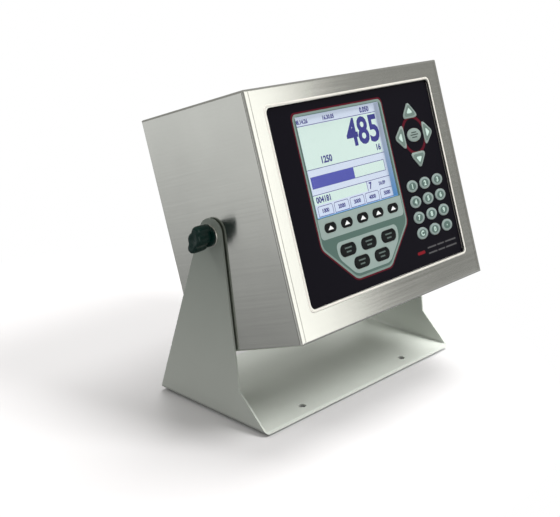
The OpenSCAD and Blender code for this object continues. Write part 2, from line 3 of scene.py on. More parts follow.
import json
import logging
import math
from collections.abc import Callable, Iterable, Sequence
from dataclasses import dataclass, field
from enum import Enum

import bmesh
import bpy
from mathutils import Matrix, Vector

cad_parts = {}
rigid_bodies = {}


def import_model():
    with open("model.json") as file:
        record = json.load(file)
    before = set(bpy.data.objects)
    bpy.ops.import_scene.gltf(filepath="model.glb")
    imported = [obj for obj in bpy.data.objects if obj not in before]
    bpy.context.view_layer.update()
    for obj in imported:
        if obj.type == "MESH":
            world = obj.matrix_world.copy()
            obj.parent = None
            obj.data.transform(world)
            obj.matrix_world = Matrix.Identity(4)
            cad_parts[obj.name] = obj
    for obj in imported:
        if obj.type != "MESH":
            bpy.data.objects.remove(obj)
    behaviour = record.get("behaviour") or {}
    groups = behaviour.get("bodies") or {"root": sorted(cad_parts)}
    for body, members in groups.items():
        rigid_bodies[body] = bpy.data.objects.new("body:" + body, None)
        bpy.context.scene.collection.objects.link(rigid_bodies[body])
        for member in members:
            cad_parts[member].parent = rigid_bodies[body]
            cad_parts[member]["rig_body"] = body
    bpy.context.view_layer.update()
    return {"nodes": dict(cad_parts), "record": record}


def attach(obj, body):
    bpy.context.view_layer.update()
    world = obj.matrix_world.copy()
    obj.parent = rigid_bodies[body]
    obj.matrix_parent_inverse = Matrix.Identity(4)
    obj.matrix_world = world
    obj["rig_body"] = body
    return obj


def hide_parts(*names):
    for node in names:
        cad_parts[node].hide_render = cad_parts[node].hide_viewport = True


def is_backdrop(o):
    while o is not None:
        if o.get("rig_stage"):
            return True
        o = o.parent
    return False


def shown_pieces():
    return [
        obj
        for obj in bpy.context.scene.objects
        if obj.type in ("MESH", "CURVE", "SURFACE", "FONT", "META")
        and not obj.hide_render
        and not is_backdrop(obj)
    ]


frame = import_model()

log = logging.getLogger("weighing_indicator")

Point = tuple[float, float]
Triple = tuple[float, float, float]
Color = tuple[float, float, float]
Mesh = bmesh.types.BMesh
Socket = bpy.types.NodeSocket
Cuts = float | Sequence[float]
Value = Socket | float | Sequence[float]

MM = 0.001
HAIR = 0.03 * MM
TILT = math.radians(21)
PIVOT = Vector((0, 8 * MM, 160 * MM))
PIVOT_IN_CASE = Vector((0, 72 * MM, -3.5 * MM))
CASE = Matrix.Translation(PIVOT) @ Matrix.Rotation(-TILT, 4, "X") @ Matrix.Translation(-PIVOT_IN_CASE)
STAND = Matrix.Identity(4)
NEAR = 0.001 * MM
CAD_MERGE = 0.002 * MM
MERGE = 0.004 * MM
FIGURE_MERGE = 0.0001
SAME_PLANE = math.radians(0.3)
SHARP_EDGE = math.radians(40)
OVAL_FACETS = 48
ROUND_END_FACETS = 8
RELIEF_DEPTH = 0.3 * MM
NOISE_ROUGHNESS = 0.62
FINE_DETAIL = 5.0
BROAD_DETAIL = 2.0
BROAD_FEATURES = (14.0, 14.0, 14.0)
PATTERN_RANGE = (0.3, 0.7)
LEVEL_RANGE = (0.6, 0.8)
FACING = Matrix.Rotation(math.radians(90), 3, "X")


class Grain(Enum):
    """The fine pattern of a surface, as its number of features a metre along X, Y and Z."""

    BRUSHED = (7.0, 7.0, 420.0)
    SATIN = (700.0, 700.0, 700.0)
    MOULDED = (1600.0, 1600.0, 1600.0)
    FILM = (160.0, 160.0, 160.0)
    WOVEN = (260.0, 260.0, 900.0)


@dataclass(frozen=True)
class Graph:
    """The nodes and links of one material or world."""

    tree: bpy.types.NodeTree

    def node(self, kind: str) -> bpy.types.Node:
        """Adds a node of a kind."""
        return self.tree.nodes.new(f"ShaderNode{kind}")

    def feed(self, entry: Socket, value: Value) -> None:
        """Links a socket to an input, or sets a plain value on it.

        Args:
            entry: The input.
            value: What it gets.
        """
        if isinstance(value, bpy.types.NodeSocket):
            self.tree.links.new(value, entry)
        else:
            entry.default_value = value

    def coordinates(self, kind: str) -> Socket:
        """Adds the texture coordinates of a kind."""
        return self.node("TexCoord").outputs[kind]

    def calculation(self, operation: str, *terms: Socket | float) -> Socket:
        """Adds a calculation.

        Args:
            operation: Its kind.
            terms: Its terms in order.

        Returns:
            The socket with the result.
        """
        made = self.node("Math")
        made.operation = operation
        for entry, term in zip(made.inputs, terms):
            self.feed(entry, term)
        return made.outputs["Value"]

    def ramp(self, value: Socket, source: Point, result: Point = (0.0, 1.0)) -> Socket:
        """Adds a ramp that stays level past its ends.

        Args:
            value: The socket that it follows.
            source: Where it starts and ends.
            result: Its values there.

        Returns:
            The socket with the result.
        """
        made = self.node("MapRange")
        for name, number in zip(("From Min", "From Max", "To Min", "To Max"), (*source, *result)):
            made.inputs[name].default_value = number
        self.feed(made.inputs["Value"], value)
        return made.outputs["Result"]

    def mapped(self, vector: Socket, kind: str, **changes: Sequence[float]) -> Socket:
        """Adds a mapping of a vector.

        Args:
            vector: The socket with the vector.
            kind: How it is mapped.
            changes: The mapping's location, rotation or scale.

        Returns:
            The socket with the mapped vector.
        """
        made = self.node("Mapping")
        made.vector_type = kind
        for name, change in changes.items():
            made.inputs[name.capitalize()].default_value = change
        self.feed(made.inputs["Vector"], vector)
        return made.outputs["Vector"]

    def height(self, vector: Socket) -> Socket:
        """Adds the Z part of a vector.

        Args:
            vector: The socket with the vector.

        Returns:
            The socket with the part.
        """
        split = self.node("SeparateXYZ")
        self.feed(split.inputs["Vector"], vector)
        return split.outputs["Z"]

    def blend(self, share: Socket, first: Socket, second: Socket) -> Socket:
        """Adds a blend of two numbers.

        Args:
            share: The second one's share.
            first: The first one.
            second: The second one.

        Returns:
            The socket with the result.
        """
        made = self.node("Mix")
        for index, value in ((0, share), (2, first), (3, second)):
            self.feed(made.inputs[index], value)
        return made.outputs[0]

    def tint(self, share: Socket, first: Value, second: Value) -> Socket:
        """Adds a blend of two colours.

        Args:
            share: The second one's share.
            first: The first one.
            second: The second one.

        Returns:
            The socket with the result.
        """
        made = self.node("Mix")
        made.data_type = "RGBA"
        for index, value in ((0, share), (6, first), (7, second)):
            self.feed(made.inputs[index], value)
        return made.outputs[2]

    def surface(self, share: Socket, first: Socket, second: Socket) -> Socket:
        """Adds a blend of two shaders.

        Args:
            share: The second one's share.
            first: The first one.
            second: The second one.

        Returns:
            The socket with the result.
        """
        made = self.node("MixShader")
        for entry, value in zip(made.inputs, (share, first, second)):
            self.feed(entry, value)
        return made.outputs["Shader"]


@dataclass(frozen=True)
class Finish:
    """A surface finish, made as a procedural material."""

    name: str
    color: Color
    roughness: float
    metallic: float = 0.0
    grain: Grain = Grain.FILM
    shade: float = 0.05
    gloss_spread: float = 0.05
    relief: float = 0.04
    anisotropic: float = 0.0
    specular: float = 0.5
    glow: float = 0.0
    alpha: float = 1.0
    leans: bool = False
    # On the stand this fade is painted shade, darker towards the top.
    fade: Color | None = None
    fade_start: float = 0.0
    fade_end: float = 1.0

    def material(self) -> bpy.types.Material:
        """Makes the material once, and then shares it.

        Returns:
            The material.
        """
        made = bpy.data.materials.get(self.name)
        if made is not None:
            return made
        made = bpy.data.materials.new(self.name)
        made.use_nodes = True
        graph = Graph(made.node_tree)
        shader = made.node_tree.nodes["Principled BSDF"]
        shader.inputs["Metallic"].default_value = self.metallic
        shader.inputs["Anisotropic"].default_value = self.anisotropic
        shader.inputs["Specular IOR Level"].default_value = self.specular
        shader.inputs["Alpha"].default_value = self.alpha
        shader.inputs["Emission Strength"].default_value = self.glow
        pattern = self._pattern(graph)
        if self.anisotropic:
            graph.feed(shader.inputs["Tangent"], self._across_grain(graph))
        color = self._shaded(graph, pattern)
        graph.feed(shader.inputs["Base Color"], color)
        if self.glow:
            graph.feed(shader.inputs["Emission Color"], color)
        gloss = (self.roughness - self.gloss_spread, self.roughness + self.gloss_spread)
        graph.feed(shader.inputs["Roughness"], graph.ramp(pattern, PATTERN_RANGE, gloss))
        bump = graph.node("Bump")
        bump.inputs["Strength"].default_value = self.relief
        bump.inputs["Distance"].default_value = RELIEF_DEPTH
        graph.feed(bump.inputs["Height"], pattern)
        graph.feed(shader.inputs["Normal"], bump.outputs["Normal"])
        return made

    def _place(self, graph: Graph, features: Sequence[float]) -> Socket:
        """Adds the object's coordinates in the piece's own frame.

        Args:
            graph: The material's nodes.
            features: How many features a metre there are along each axis.

        Returns:
            The socket with the coordinates.
        """
        changes = {"scale": [1 / n for n in features]}
        if self.leans:
            changes["location"] = CASE.translation
            changes["rotation"] = (-TILT, 0, 0)
        return graph.mapped(graph.coordinates("Object"), "TEXTURE", **changes)

    def _noise(self, graph: Graph, features: Sequence[float], detail: float) -> Socket:
        """Adds a noise pattern.

        Args:
            graph: The material's nodes.
            features: How many features a metre there are along each axis.
            detail: How many finer layers it has.

        Returns:
            The socket with the pattern.
        """
        noise = graph.node("TexNoise")
        noise.inputs["Scale"].default_value = 1.0
        noise.inputs["Detail"].default_value = detail
        noise.inputs["Roughness"].default_value = NOISE_ROUGHNESS
        graph.feed(noise.inputs["Vector"], self._place(graph, features))
        return noise.outputs["Fac"]

    def _levelness(self, graph: Graph) -> Socket:
        """Adds how far a face is an upper or lower one in the piece's own frame.

        Args:
            graph: The material's nodes.

        Returns:
            The socket, which is 0 on an upright face and 1 on a level one.
        """
        turn = TILT if self.leans else 0.0
        facing = graph.mapped(graph.coordinates("Normal"), "VECTOR", rotation=(turn, 0, 0))
        return graph.ramp(graph.calculation("ABSOLUTE", graph.height(facing)), LEVEL_RANGE)

    def _across_grain(self, graph: Graph) -> Socket:
        """Adds the direction square to the brushing, in which the gloss spreads.

        Args:
            graph: The material's nodes.

        Returns:
            The socket with the direction, in the world's frame.
        """
        level = self._levelness(graph)
        joined = graph.node("CombineXYZ")
        graph.feed(joined.inputs["Y"], level)
        graph.feed(joined.inputs["Z"], graph.calculation("SUBTRACT", 1.0, level))
        turn = -TILT if self.leans else 0.0
        turned = graph.node("VectorTransform")
        turned.vector_type = "VECTOR"
        turned.convert_from = "OBJECT"
        turned.convert_to = "WORLD"
        leaned = graph.mapped(joined.outputs["Vector"], "VECTOR", rotation=(turn, 0, 0))
        graph.feed(turned.inputs["Vector"], leaned)
        return turned.outputs["Vector"]

    def _pattern(self, graph: Graph) -> Socket:
        """Adds the fine pattern. Brushed streaks run across the width, and turn on upper and lower faces.

        Args:
            graph: The material's nodes.

        Returns:
            The socket with the pattern.
        """
        along_x, along_y, along_z = self.grain.value
        fine = self._noise(graph, self.grain.value, FINE_DETAIL)
        if self.grain is not Grain.BRUSHED:
            return fine
        flat = self._noise(graph, (along_x, along_z, along_y), FINE_DETAIL)
        return graph.blend(self._levelness(graph), fine, flat)

    def _shaded(self, graph: Graph, pattern: Socket) -> Socket:
        """Adds the colour, varied by both patterns, and faded along Z where the finish fades. On the stand
        that fade is painted shade, darker towards the top.

        Args:
            graph: The material's nodes.
            pattern: The socket with the fine pattern.

        Returns:
            The socket with the colour.
        """
        broad = self._noise(graph, BROAD_FEATURES, BROAD_DETAIL)
        share = graph.calculation("MULTIPLY_ADD", pattern, 0.5, graph.calculation("MULTIPLY", broad, 0.5))
        dark = (*(c * (1 - 2 * self.shade) for c in self.color), 1)
        light = (*(min(1.0, c * (1 + 2 * self.shade)) for c in self.color), 1)
        color = graph.tint(share, dark, light)
        if self.fade is None:
            return color
        height = graph.height(self._place(graph, (1.0, 1.0, 1.0)))
        return graph.tint(graph.ramp(height, (self.fade_start, self.fade_end)), color, (*self.fade, 1))


CASE_STEEL = Finish("case_brushed_steel", (0.655, 0.665, 0.625), 0.18, metallic=1.0, grain=Grain.BRUSHED,
                    shade=0.09,
                    gloss_spread=0.03, relief=0.07, anisotropic=0.9, leans=True)
# The drawn edge is the case's own sheet. Its paler, less metallic colour is a painted highlight on the
# rounding.
EDGE_STEEL_PAINTED_HIGHLIGHT = Finish("case_drawn_edge_painted_highlight", (0.86, 0.84, 0.78), 0.4, metallic=0.45, grain=Grain.SATIN, relief=0.06,
                    leans=True)
# Dark strips along the front's folds: painted shade in the seams.
SEAM_PAINTED_SHADE = Finish("case_seam_shadow", (0.12, 0.11, 0.09), 0.6, metallic=0.4, leans=True)
# The stand's colour fades to a dark green grey upwards along Z: painted shade on the legs, darker towards the
# top.
STAND_STEEL_PAINTED_SHADE = Finish("stand_steel_painted_shade", (0.69, 0.73, 0.68), 0.5, metallic=0.1, grain=Grain.SATIN,
                     shade=0.03,
                     gloss_spread=0.05, relief=0.05, fade=(0.29, 0.33, 0.295), fade_start=15 * MM,
                     fade_end=170 * MM)
PLATED = Finish("zinc_plated_steel", (0.68, 0.68, 0.66), 0.3, metallic=1.0, grain=Grain.SATIN, relief=0.06)
BRIGHT = Finish("bright_washer_steel", (0.88, 0.86, 0.80), 0.25, metallic=0.9, grain=Grain.SATIN, relief=0.03)
RUBBER = Finish("moulded_rubber", (0.022, 0.022, 0.023), 0.75, grain=Grain.MOULDED, relief=0.12, specular=0.3)
NYLON = Finish("moulded_nylon", (0.026, 0.028, 0.03), 0.42, grain=Grain.MOULDED, relief=0.08)
KNOB_PLASTIC = Finish("dark_green_moulding", (0.004, 0.028, 0.023), 0.2, grain=Grain.FILM, shade=0.12,
                      relief=0.05,
                      specular=0.25)
OVERLAY = Finish("dark_overlay_film", (0.0035, 0.003, 0.006), 0.46, grain=Grain.MOULDED, shade=0.06,
                 relief=0.05,
                 specular=0.05, leans=True)
RED_INK = Finish("dark_red_ink", (0.088, 0.007, 0.015), 0.4, grain=Grain.MOULDED, specular=0.05, leans=True)
RIM_INK = Finish("grey_green_rim_ink", (0.20, 0.275, 0.25), 0.42, grain=Grain.MOULDED, specular=0.08,
                 leans=True)
TEAL_INK = Finish("teal_ink", (0.085, 0.142, 0.124), 0.42, grain=Grain.MOULDED, specular=0.08, leans=True)
BAND_INK = Finish("pale_grey_ink", (0.285, 0.36, 0.34), 0.42, grain=Grain.MOULDED, specular=0.08, leans=True)
RULE_INK = Finish("grey_rule_ink", (0.085, 0.085, 0.09), 0.45, grain=Grain.MOULDED, specular=0.08, leans=True)
BRIGHT_RED_INK = Finish("bright_red_ink", (0.20, 0.009, 0.016), 0.42, grain=Grain.MOULDED, specular=0.08,
                        leans=True)
BLACK_KEY = Finish("black_key_film", (0.004, 0.005, 0.0055), 0.3, grain=Grain.MOULDED, specular=0.08,
                   leans=True)
GREY_KEY = Finish("grey_key_film", (0.25, 0.315, 0.292), 0.38, grain=Grain.MOULDED, specular=0.25, leans=True)
GREEN_KEY = Finish("green_grey_key_film", (0.245, 0.31, 0.297), 0.38, grain=Grain.MOULDED, specular=0.25,
                   leans=True)
KEY_DISC = Finish("teal_key_disc", (0.085, 0.138, 0.122), 0.4, grain=Grain.MOULDED, specular=0.2, leans=True)
ARROW_FIELD = Finish("arrow_key_field", (0.135, 0.195, 0.172), 0.4, grain=Grain.MOULDED, specular=0.2,
                     leans=True)
DARK_MARK = Finish("dark_key_mark", (0.035, 0.055, 0.050), 0.4, grain=Grain.MOULDED, specular=0.2, leans=True)
KEY_MARK = Finish("dim_key_mark", (0.10, 0.135, 0.125), 0.4, grain=Grain.MOULDED, specular=0.2, leans=True)
WHITE_INK = Finish("white_ink", (0.82, 0.84, 0.84), 0.45, grain=Grain.MOULDED, specular=0.2, leans=True)
PALE_INK = Finish("pale_ink", (0.54, 0.68, 0.63), 0.45, grain=Grain.MOULDED, specular=0.2, leans=True)
LIT_GLASS = Finish("lit_display_glass", (0.25, 0.277, 0.335), 0.3, shade=0.015, specular=0.1, glow=1.6,
                   leans=True)
LIT_WALL = Finish("lit_display_wall", (0.165, 0.19, 0.235), 0.35, shade=0.03, specular=0.1, glow=1.7,
                  leans=True,
                  fade=(0.045, 0.12, 0.235), fade_start=45 * MM, fade_end=-10 * MM)
MINT_GROUND = Finish("mint_display_ground", (0.277, 0.342, 0.32), 0.3, shade=0.015, specular=0.1, glow=1.6,
                     leans=True)
WHITE_GROUND = Finish("white_display_ground", (0.265, 0.297, 0.352), 0.3, shade=0.015, specular=0.1,
                      glow=1.65,
                      leans=True)
DISPLAY_INK = Finish("violet_display_dots", (0.022, 0.022, 0.105), 0.35, specular=0.1, glow=1.5, leans=True)
BAR_INK = Finish("blue_display_bar", (0.036, 0.040, 0.162), 0.35, specular=0.1, glow=1.8, leans=True)
PANE = Finish("clear_window_pane", (0.04, 0.05, 0.055), 0.06, shade=0.02, gloss_spread=0.02, relief=0.01,
              alpha=0.05, leans=True)
AMBER_FILM = Finish("amber_circuit_film", (0.40, 0.22, 0.045), 0.4, leans=True)
SHEET_ALUMINIUM = Finish("mill_aluminium", (0.62, 0.63, 0.64), 0.4, metallic=1.0, grain=Grain.BRUSHED,
                         leans=True)
TINNED = Finish("tinned_steel", (0.60, 0.60, 0.57), 0.38, metallic=1.0, grain=Grain.SATIN, leans=True)
BOARD_GREEN = Finish("green_solder_mask", (0.012, 0.105, 0.04), 0.35, grain=Grain.WOVEN, relief=0.06,
                     leans=True)
BRASS_HEX = Finish("machined_brass", (0.62, 0.43, 0.16), 0.3, metallic=1.0, grain=Grain.BRUSHED, leans=True)
CHIP_BLACK = Finish("moulded_component_black", (0.03, 0.03, 0.033), 0.5, grain=Grain.MOULDED, leans=True)
CORE_STEEL = Finish("varnished_core", (0.07, 0.062, 0.055), 0.45, metallic=0.5, grain=Grain.BRUSHED,
                    leans=True)
CABLE_GREY = Finish("grey_flat_cable", (0.25, 0.26, 0.28), 0.5, grain=Grain.BRUSHED, leans=True)

SLOT_FINISHES = {
    "brushed_case": CASE_STEEL, "satin_stand": STAND_STEEL_PAINTED_SHADE, "black_rubber": RUBBER,
    "knob_plastic": KNOB_PLASTIC, "plated_steel": PLATED, "bright_washer": BRIGHT, "black_nylon": NYLON,
    "overlay_film": OVERLAY, "amber_film": AMBER_FILM, "aluminium_sheet": SHEET_ALUMINIUM, "clear_pane": PANE,
    "tinned_frame": TINNED, "lcd_glass": LIT_GLASS, "green_board": BOARD_GREEN, "brass_hex": BRASS_HEX,
    "black_parts": CHIP_BLACK, "dark_core": CORE_STEEL, "grey_cable": CABLE_GREY, "black_key": BLACK_KEY,
    "grey_key": GREY_KEY, "green_key": GREEN_KEY,
}


def box_outline(width: float, height: float, centre: Point = (0.0, 0.0)) -> list[Point]:
    """Lists a rectangle's corners, anticlockwise as the panel is seen.

    Args:
        width: Its width in X.
        height: Its height in Z.
        centre: Its middle in X and Z.

    Returns:
        The four corners in X and Z.
    """
    x, z = centre
    w, h = width / 2, height / 2
    return [(x - w, z - h), (x + w, z - h), (x + w, z + h), (x - w, z + h)]


def between(low: Point, high: Point) -> list[Point]:
    """Lists the corners of the rectangle between two corners in X and Z."""
    return box_outline(high[0] - low[0], high[1] - low[1], ((low[0] + high[0]) / 2, (low[1] + high[1]) / 2))


def outline_face(outline: Sequence[Point], cuts: Cuts, segments: int = 5) -> Mesh:
    """Makes one flat face with round corners.

    Args:
        outline: The corners in X and Z.
        cuts: How far each rounding reaches along the edges from its corner.
        segments: Facets of each rounding.

    Returns:
        A bmesh with the face at y = 0.
    """
    bm = bmesh.new()
    corners = [bm.verts.new((x, 0, z)) for x, z in outline]
    bm.faces.new(corners)
    reach = [cuts] * len(corners) if isinstance(cuts, (int, float)) else list(cuts)
    for corner, cut in zip(corners, reach):
        if cut:
            bmesh.ops.bevel(bm, geom=[corner], offset=cut, offset_type="OFFSET", affect="VERTICES",
                            segments=segments, profile=0.5, material=-1, clamp_overlap=False)
    bmesh.ops.remove_doubles(bm, verts=bm.verts, dist=MERGE)
    return bm


def thicken(bm: Mesh, front: float, back: float, rim: float = 0.0, rim_segments: int = 2) -> None:
    """Extrudes flat faces at y = 0 into a plate, and rounds the edges of its front.

    Args:
        bm: The faces.
        front: Y of the front.
        back: Y of the back.
        rim: Radius of the front's edges.
        rim_segments: Facets of that rounding.
    """
    swept = bmesh.ops.extrude_face_region(bm, geom=list(bm.faces))
    raised = [g for g in swept["geom"] if isinstance(g, bmesh.types.BMVert)]
    lower = [v for v in bm.verts if v not in set(raised)]
    bmesh.ops.translate(bm, verts=raised, vec=(0, front, 0))
    bmesh.ops.translate(bm, verts=lower, vec=(0, back, 0))
    bmesh.ops.recalc_face_normals(bm, faces=bm.faces)
    if rim:
        edges = [e for e in bm.edges if all(abs(v.co.y - front) < NEAR for v in e.verts)
                 and abs(e.calc_face_angle(0)) > 1]
        bmesh.ops.bevel(bm, geom=edges, offset=rim, offset_type="OFFSET", affect="EDGES",
                        segments=rim_segments, profile=0.5, material=-1, clamp_overlap=True)


def plate(outline: Sequence[Point], cuts: Cuts, front: float, back: float, rim: float = 0.0,
          segments: int = 5) -> Mesh:
    """Makes a plate with round corners and a round front rim, facing -Y.

    Args:
        outline: The corners in X and Z.
        cuts: How far each rounding reaches along the edges from its corner.
        front: Y of the front.
        back: Y of the back.
        rim: Radius of the front's edges.
        segments: Facets of each corner.

    Returns:
        A bmesh with the plate.
    """
    bm = outline_face(outline, cuts, segments)
    thicken(bm, front, back, rim)
    return bm


def frame_plate(outline: Sequence[Point], cuts: Cuts, width: float, front: float, back: float,
                rim: float = 0.0, segments: int = 5, rim_segments: int = 2) -> Mesh:
    """Makes a plate that is only a band of even width inside its outline.

    Args:
        outline: The corners in X and Z.
        cuts: How far each rounding reaches along the edges from its corner.
        width: The band's width.
        front: Y of the front.
        back: Y of the back.
        rim: Radius of the front's edges.
        segments: Facets of each corner.
        rim_segments: Facets of the front's edges.

    Returns:
        A bmesh with the band.
    """
    bm = outline_face(outline, cuts, segments)
    bmesh.ops.recalc_face_normals(bm, faces=bm.faces)
    middle = list(bm.faces)
    bmesh.ops.inset_region(bm, faces=middle, thickness=width, depth=0, use_even_offset=True,
                           use_boundary=True)
    bmesh.ops.delete(bm, geom=middle, context="FACES")
    thicken(bm, front, back, rim, rim_segments)
    return bm


def stand_up(bm: Mesh, centre: Point) -> None:
    """Turns a shape that lies in X and Y to face -Y, and moves it to its middle in X and Z."""
    bmesh.ops.rotate(bm, verts=bm.verts, cent=(0, 0, 0), matrix=FACING)
    bmesh.ops.translate(bm, verts=bm.verts, vec=(centre[0], 0, centre[1]))


def turn_to(bm: Mesh, degrees: float, centre: Point) -> None:
    """Turns a shape in the panel's plane, and moves it.

    Args:
        bm: The shape, round the origin.
        degrees: How far it turns anticlockwise, as the panel is seen.
        centre: Its new middle in X and Z.
    """
    turn = Matrix.Rotation(math.radians(-degrees), 3, "Y")
    bmesh.ops.rotate(bm, verts=bm.verts, cent=(0, 0, 0), matrix=turn)
    bmesh.ops.translate(bm, verts=bm.verts, vec=(centre[0], 0, centre[1]))


def oval(width: float, height: float, centre: Point, front: float, back: float, rim: float = 0.0) -> Mesh:
    """Makes an elliptical plate.

    Args:
        width: Its width in X.
        height: Its height in Z.
        centre: Its middle in X and Z.
        front: Y of the front.
        back: Y of the back.
        rim: Radius of the front's edges.

    Returns:
        A bmesh with the plate.
    """
    bm = bmesh.new()
    bmesh.ops.create_circle(bm, cap_ends=True, segments=OVAL_FACETS, radius=1.0)
    bmesh.ops.scale(bm, verts=bm.verts, vec=(width / 2, height / 2, 1))
    stand_up(bm, centre)
    thicken(bm, front, back, rim)
    return bm


def pill(width: float, height: float, centre: Point, front: float, back: float, rim: float = 0.0) -> Mesh:
    """Makes a plate with round ends."""
    outline = box_outline(width, height, centre)
    return plate(outline, min(width, height) / 2, front, back, rim, ROUND_END_FACETS)


def lettering(text: str, height: float, centre: Point, front: float, squeeze: float, bold: float) -> Mesh:
    """Makes plain raised figures that face -Y.

    Args:
        text: The figures.
        height: Their height.
        centre: Their middle in X and Z.
        front: Y of their front.
        squeeze: Their width as a share of the plain face's.
        bold: How much their strokes grow, as a share of the height.

    Returns:
        A bmesh with the figures.
    """
    curve = bpy.data.curves.new("figures", "FONT")
    curve.body = text
    curve.resolution_u = 3
    curve.offset = bold
    holder = bpy.data.objects.new("figures", curve)
    bpy.context.scene.collection.objects.link(holder)
    bpy.context.view_layer.update()
    flat = bpy.data.meshes.new_from_object(holder.evaluated_get(bpy.context.evaluated_depsgraph_get()))
    bm = bmesh.new()
    bm.from_mesh(flat)
    bpy.data.objects.remove(holder)
    bpy.data.curves.remove(curve)
    bpy.data.meshes.remove(flat)
    bmesh.ops.remove_doubles(bm, verts=bm.verts, dist=FIGURE_MERGE)
    low = Vector([min(v.co[i] for v in bm.verts) for i in range(3)])
    high = Vector([max(v.co[i] for v in bm.verts) for i in range(3)])
    size = height / (high.y - low.y)
    middle = (low + high) / 2
    bmesh.ops.translate(bm, verts=bm.verts, vec=-middle)
    bmesh.ops.scale(bm, verts=bm.verts, vec=(size * squeeze, size, 1))
    stand_up(bm, centre)
    thicken(bm, front, front + HAIR)
    return bm


def lathe(profile: Sequence[Point], segments: int) -> Mesh:
    """Spins a profile round the Y axis.

    Args:
        profile: Its points, each a distance along +Y and a radius.
        segments: Facets round the axis.

    Returns:
        A bmesh with the turned shape.
    """
    bm = bmesh.new()
    dots = [bm.verts.new((radius, along, 0)) for along, radius in profile]
    lines = [bm.edges.new(pair) for pair in zip(dots, dots[1:])]
    bmesh.ops.spin(bm, geom=dots + lines, cent=(0, 0, 0), axis=(0, 1, 0), angle=math.tau, steps=segments,
                   use_merge=True, use_duplicate=False)
    bmesh.ops.remove_doubles(bm, verts=bm.verts, dist=MERGE)
    bmesh.ops.recalc_face_normals(bm, faces=bm.faces)
    return bm


class Piece:
    """One visible piece, gathered from shapes that each have a finish."""

    def __init__(self, name: str, body: str, slot: str) -> None:
        """Starts a piece.

        Args:
            name: Its name.
            body: The body that it rides on.
            slot: The record's slot for the piece. It is kept on the piece and not used.
        """
        self.name = name
        self.body = body
        self.slot = slot
        self.bm = bmesh.new()
        self.finishes: list[Finish] = []

    def add(self, shape: Mesh, finish: Finish) -> "Piece":
        """Adds a shape, and frees it.

        Args:
            shape: The shape.
            finish: Its finish.

        Returns:
            The piece itself.
        """
        if finish not in self.finishes:
            self.finishes.append(finish)
        for face in shape.faces:
            face.material_index = self.finishes.index(finish)
        part = bpy.data.meshes.new("part")
        shape.to_mesh(part)
        shape.free()
        self.bm.from_mesh(part)
        bpy.data.meshes.remove(part)
        return self

    def put(self, place: Matrix, *replaced: str, smooth: float = 35.0, cutter: Mesh | None = None,
            ) -> bpy.types.Object:
        """Makes the object, with its place in its mesh, and lets it ride.

        Args:
            place: From the shapes' frame to the row's frame.
            replaced: The CAD nodes that it stands for.
            smooth: The angle in degrees past which an edge stays sharp.
            cutter: A shape that is cut out of the piece, in the shapes' frame.

        Returns:
            The object.
        """
        mesh = bpy.data.meshes.new(self.name)
        self.bm.to_mesh(mesh)
        self.bm.free()
        for finish in self.finishes:
            mesh.materials.append(finish.material())
        made = bpy.data.objects.new(self.name, mesh)
        bpy.context.scene.collection.objects.link(made)
        if cutter is not None:
            carve(made, cutter)
        made.data.transform(place)
        made.data.shade_smooth()
        made.data.set_sharp_from_angle(angle=math.radians(smooth))
        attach(made, self.body)
        if replaced:
            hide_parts(*replaced)
        return made


def carve(made: bpy.types.Object, cutter: Mesh) -> None:
    """Cuts a shape out of an object's mesh.

    Args:
        made: The object.
        cutter: The shape, which is freed.
    """
    tool_mesh = bpy.data.meshes.new("cutter")
    cutter.to_mesh(tool_mesh)
    cutter.free()
    tool = bpy.data.objects.new("cutter", tool_mesh)
    bpy.context.scene.collection.objects.link(tool)
    cut = made.modifiers.new("cut", "BOOLEAN")
    cut.operation = "DIFFERENCE"
    cut.solver = "EXACT"
    cut.object = tool
    bpy.context.view_layer.update()
    result = bpy.data.meshes.new_from_object(made.evaluated_get(bpy.context.evaluated_depsgraph_get()))
    made.modifiers.clear()
    made.data = result
    bpy.data.objects.remove(tool)
    bpy.data.meshes.remove(tool_mesh)


@dataclass(frozen=True)
class DressedNode:
    """A CAD node whose sharp edges are dressed, in a finish and under a name of its own."""

    node: str
    width: float
    name: str
    finish: Finish
    smooth: float = 22.0

    def build(self) -> None:
        """Builds the dressed copy in place of the node."""
        source = frame["nodes"][self.node]
        bm = bmesh.new()
        bm.from_mesh(source.data)
        bmesh.ops.remove_doubles(bm, verts=bm.verts, dist=CAD_MERGE)
        bmesh.ops.dissolve_limit(bm, angle_limit=SAME_PLANE, verts=bm.verts, edges=bm.edges)
        sharp = [e for e in bm.edges if len(e.link_faces) == 2 and e.calc_face_angle(0) > SHARP_EDGE]
        bmesh.ops.bevel(bm, geom=sharp, offset=self.width, offset_type="OFFSET", affect="EDGES", segments=2,
                        profile=0.5, material=-1, clamp_overlap=True)
        slot = next(p["material_slot"] for p in frame["record"]["subparts"] if p["node"] == self.node)
        piece = Piece(self.name, source["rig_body"], slot)
        piece.add(bm, self.finish).put(STAND, self.node, smooth=self.smooth)


DRESSED_NODES = (
    DressedNode("stand_bracket", 0.25 * MM, "bent_stand", STAND_STEEL_PAINTED_SHADE),
    DressedNode("back_plate", 0.2 * MM, "dressed_back_plate", CASE_STEEL),
    DressedNode("back_screws", 0.25 * MM, "dressed_back_screws", PLATED),
    DressedNode("stand_feet", 0.4 * MM, "dressed_feet", RUBBER),
    DressedNode("left_knob_washer", 0.25 * MM, "dressed_left_washer", BRIGHT),
    DressedNode("right_knob_washer", 0.25 * MM, "dressed_right_washer", BRIGHT),
)


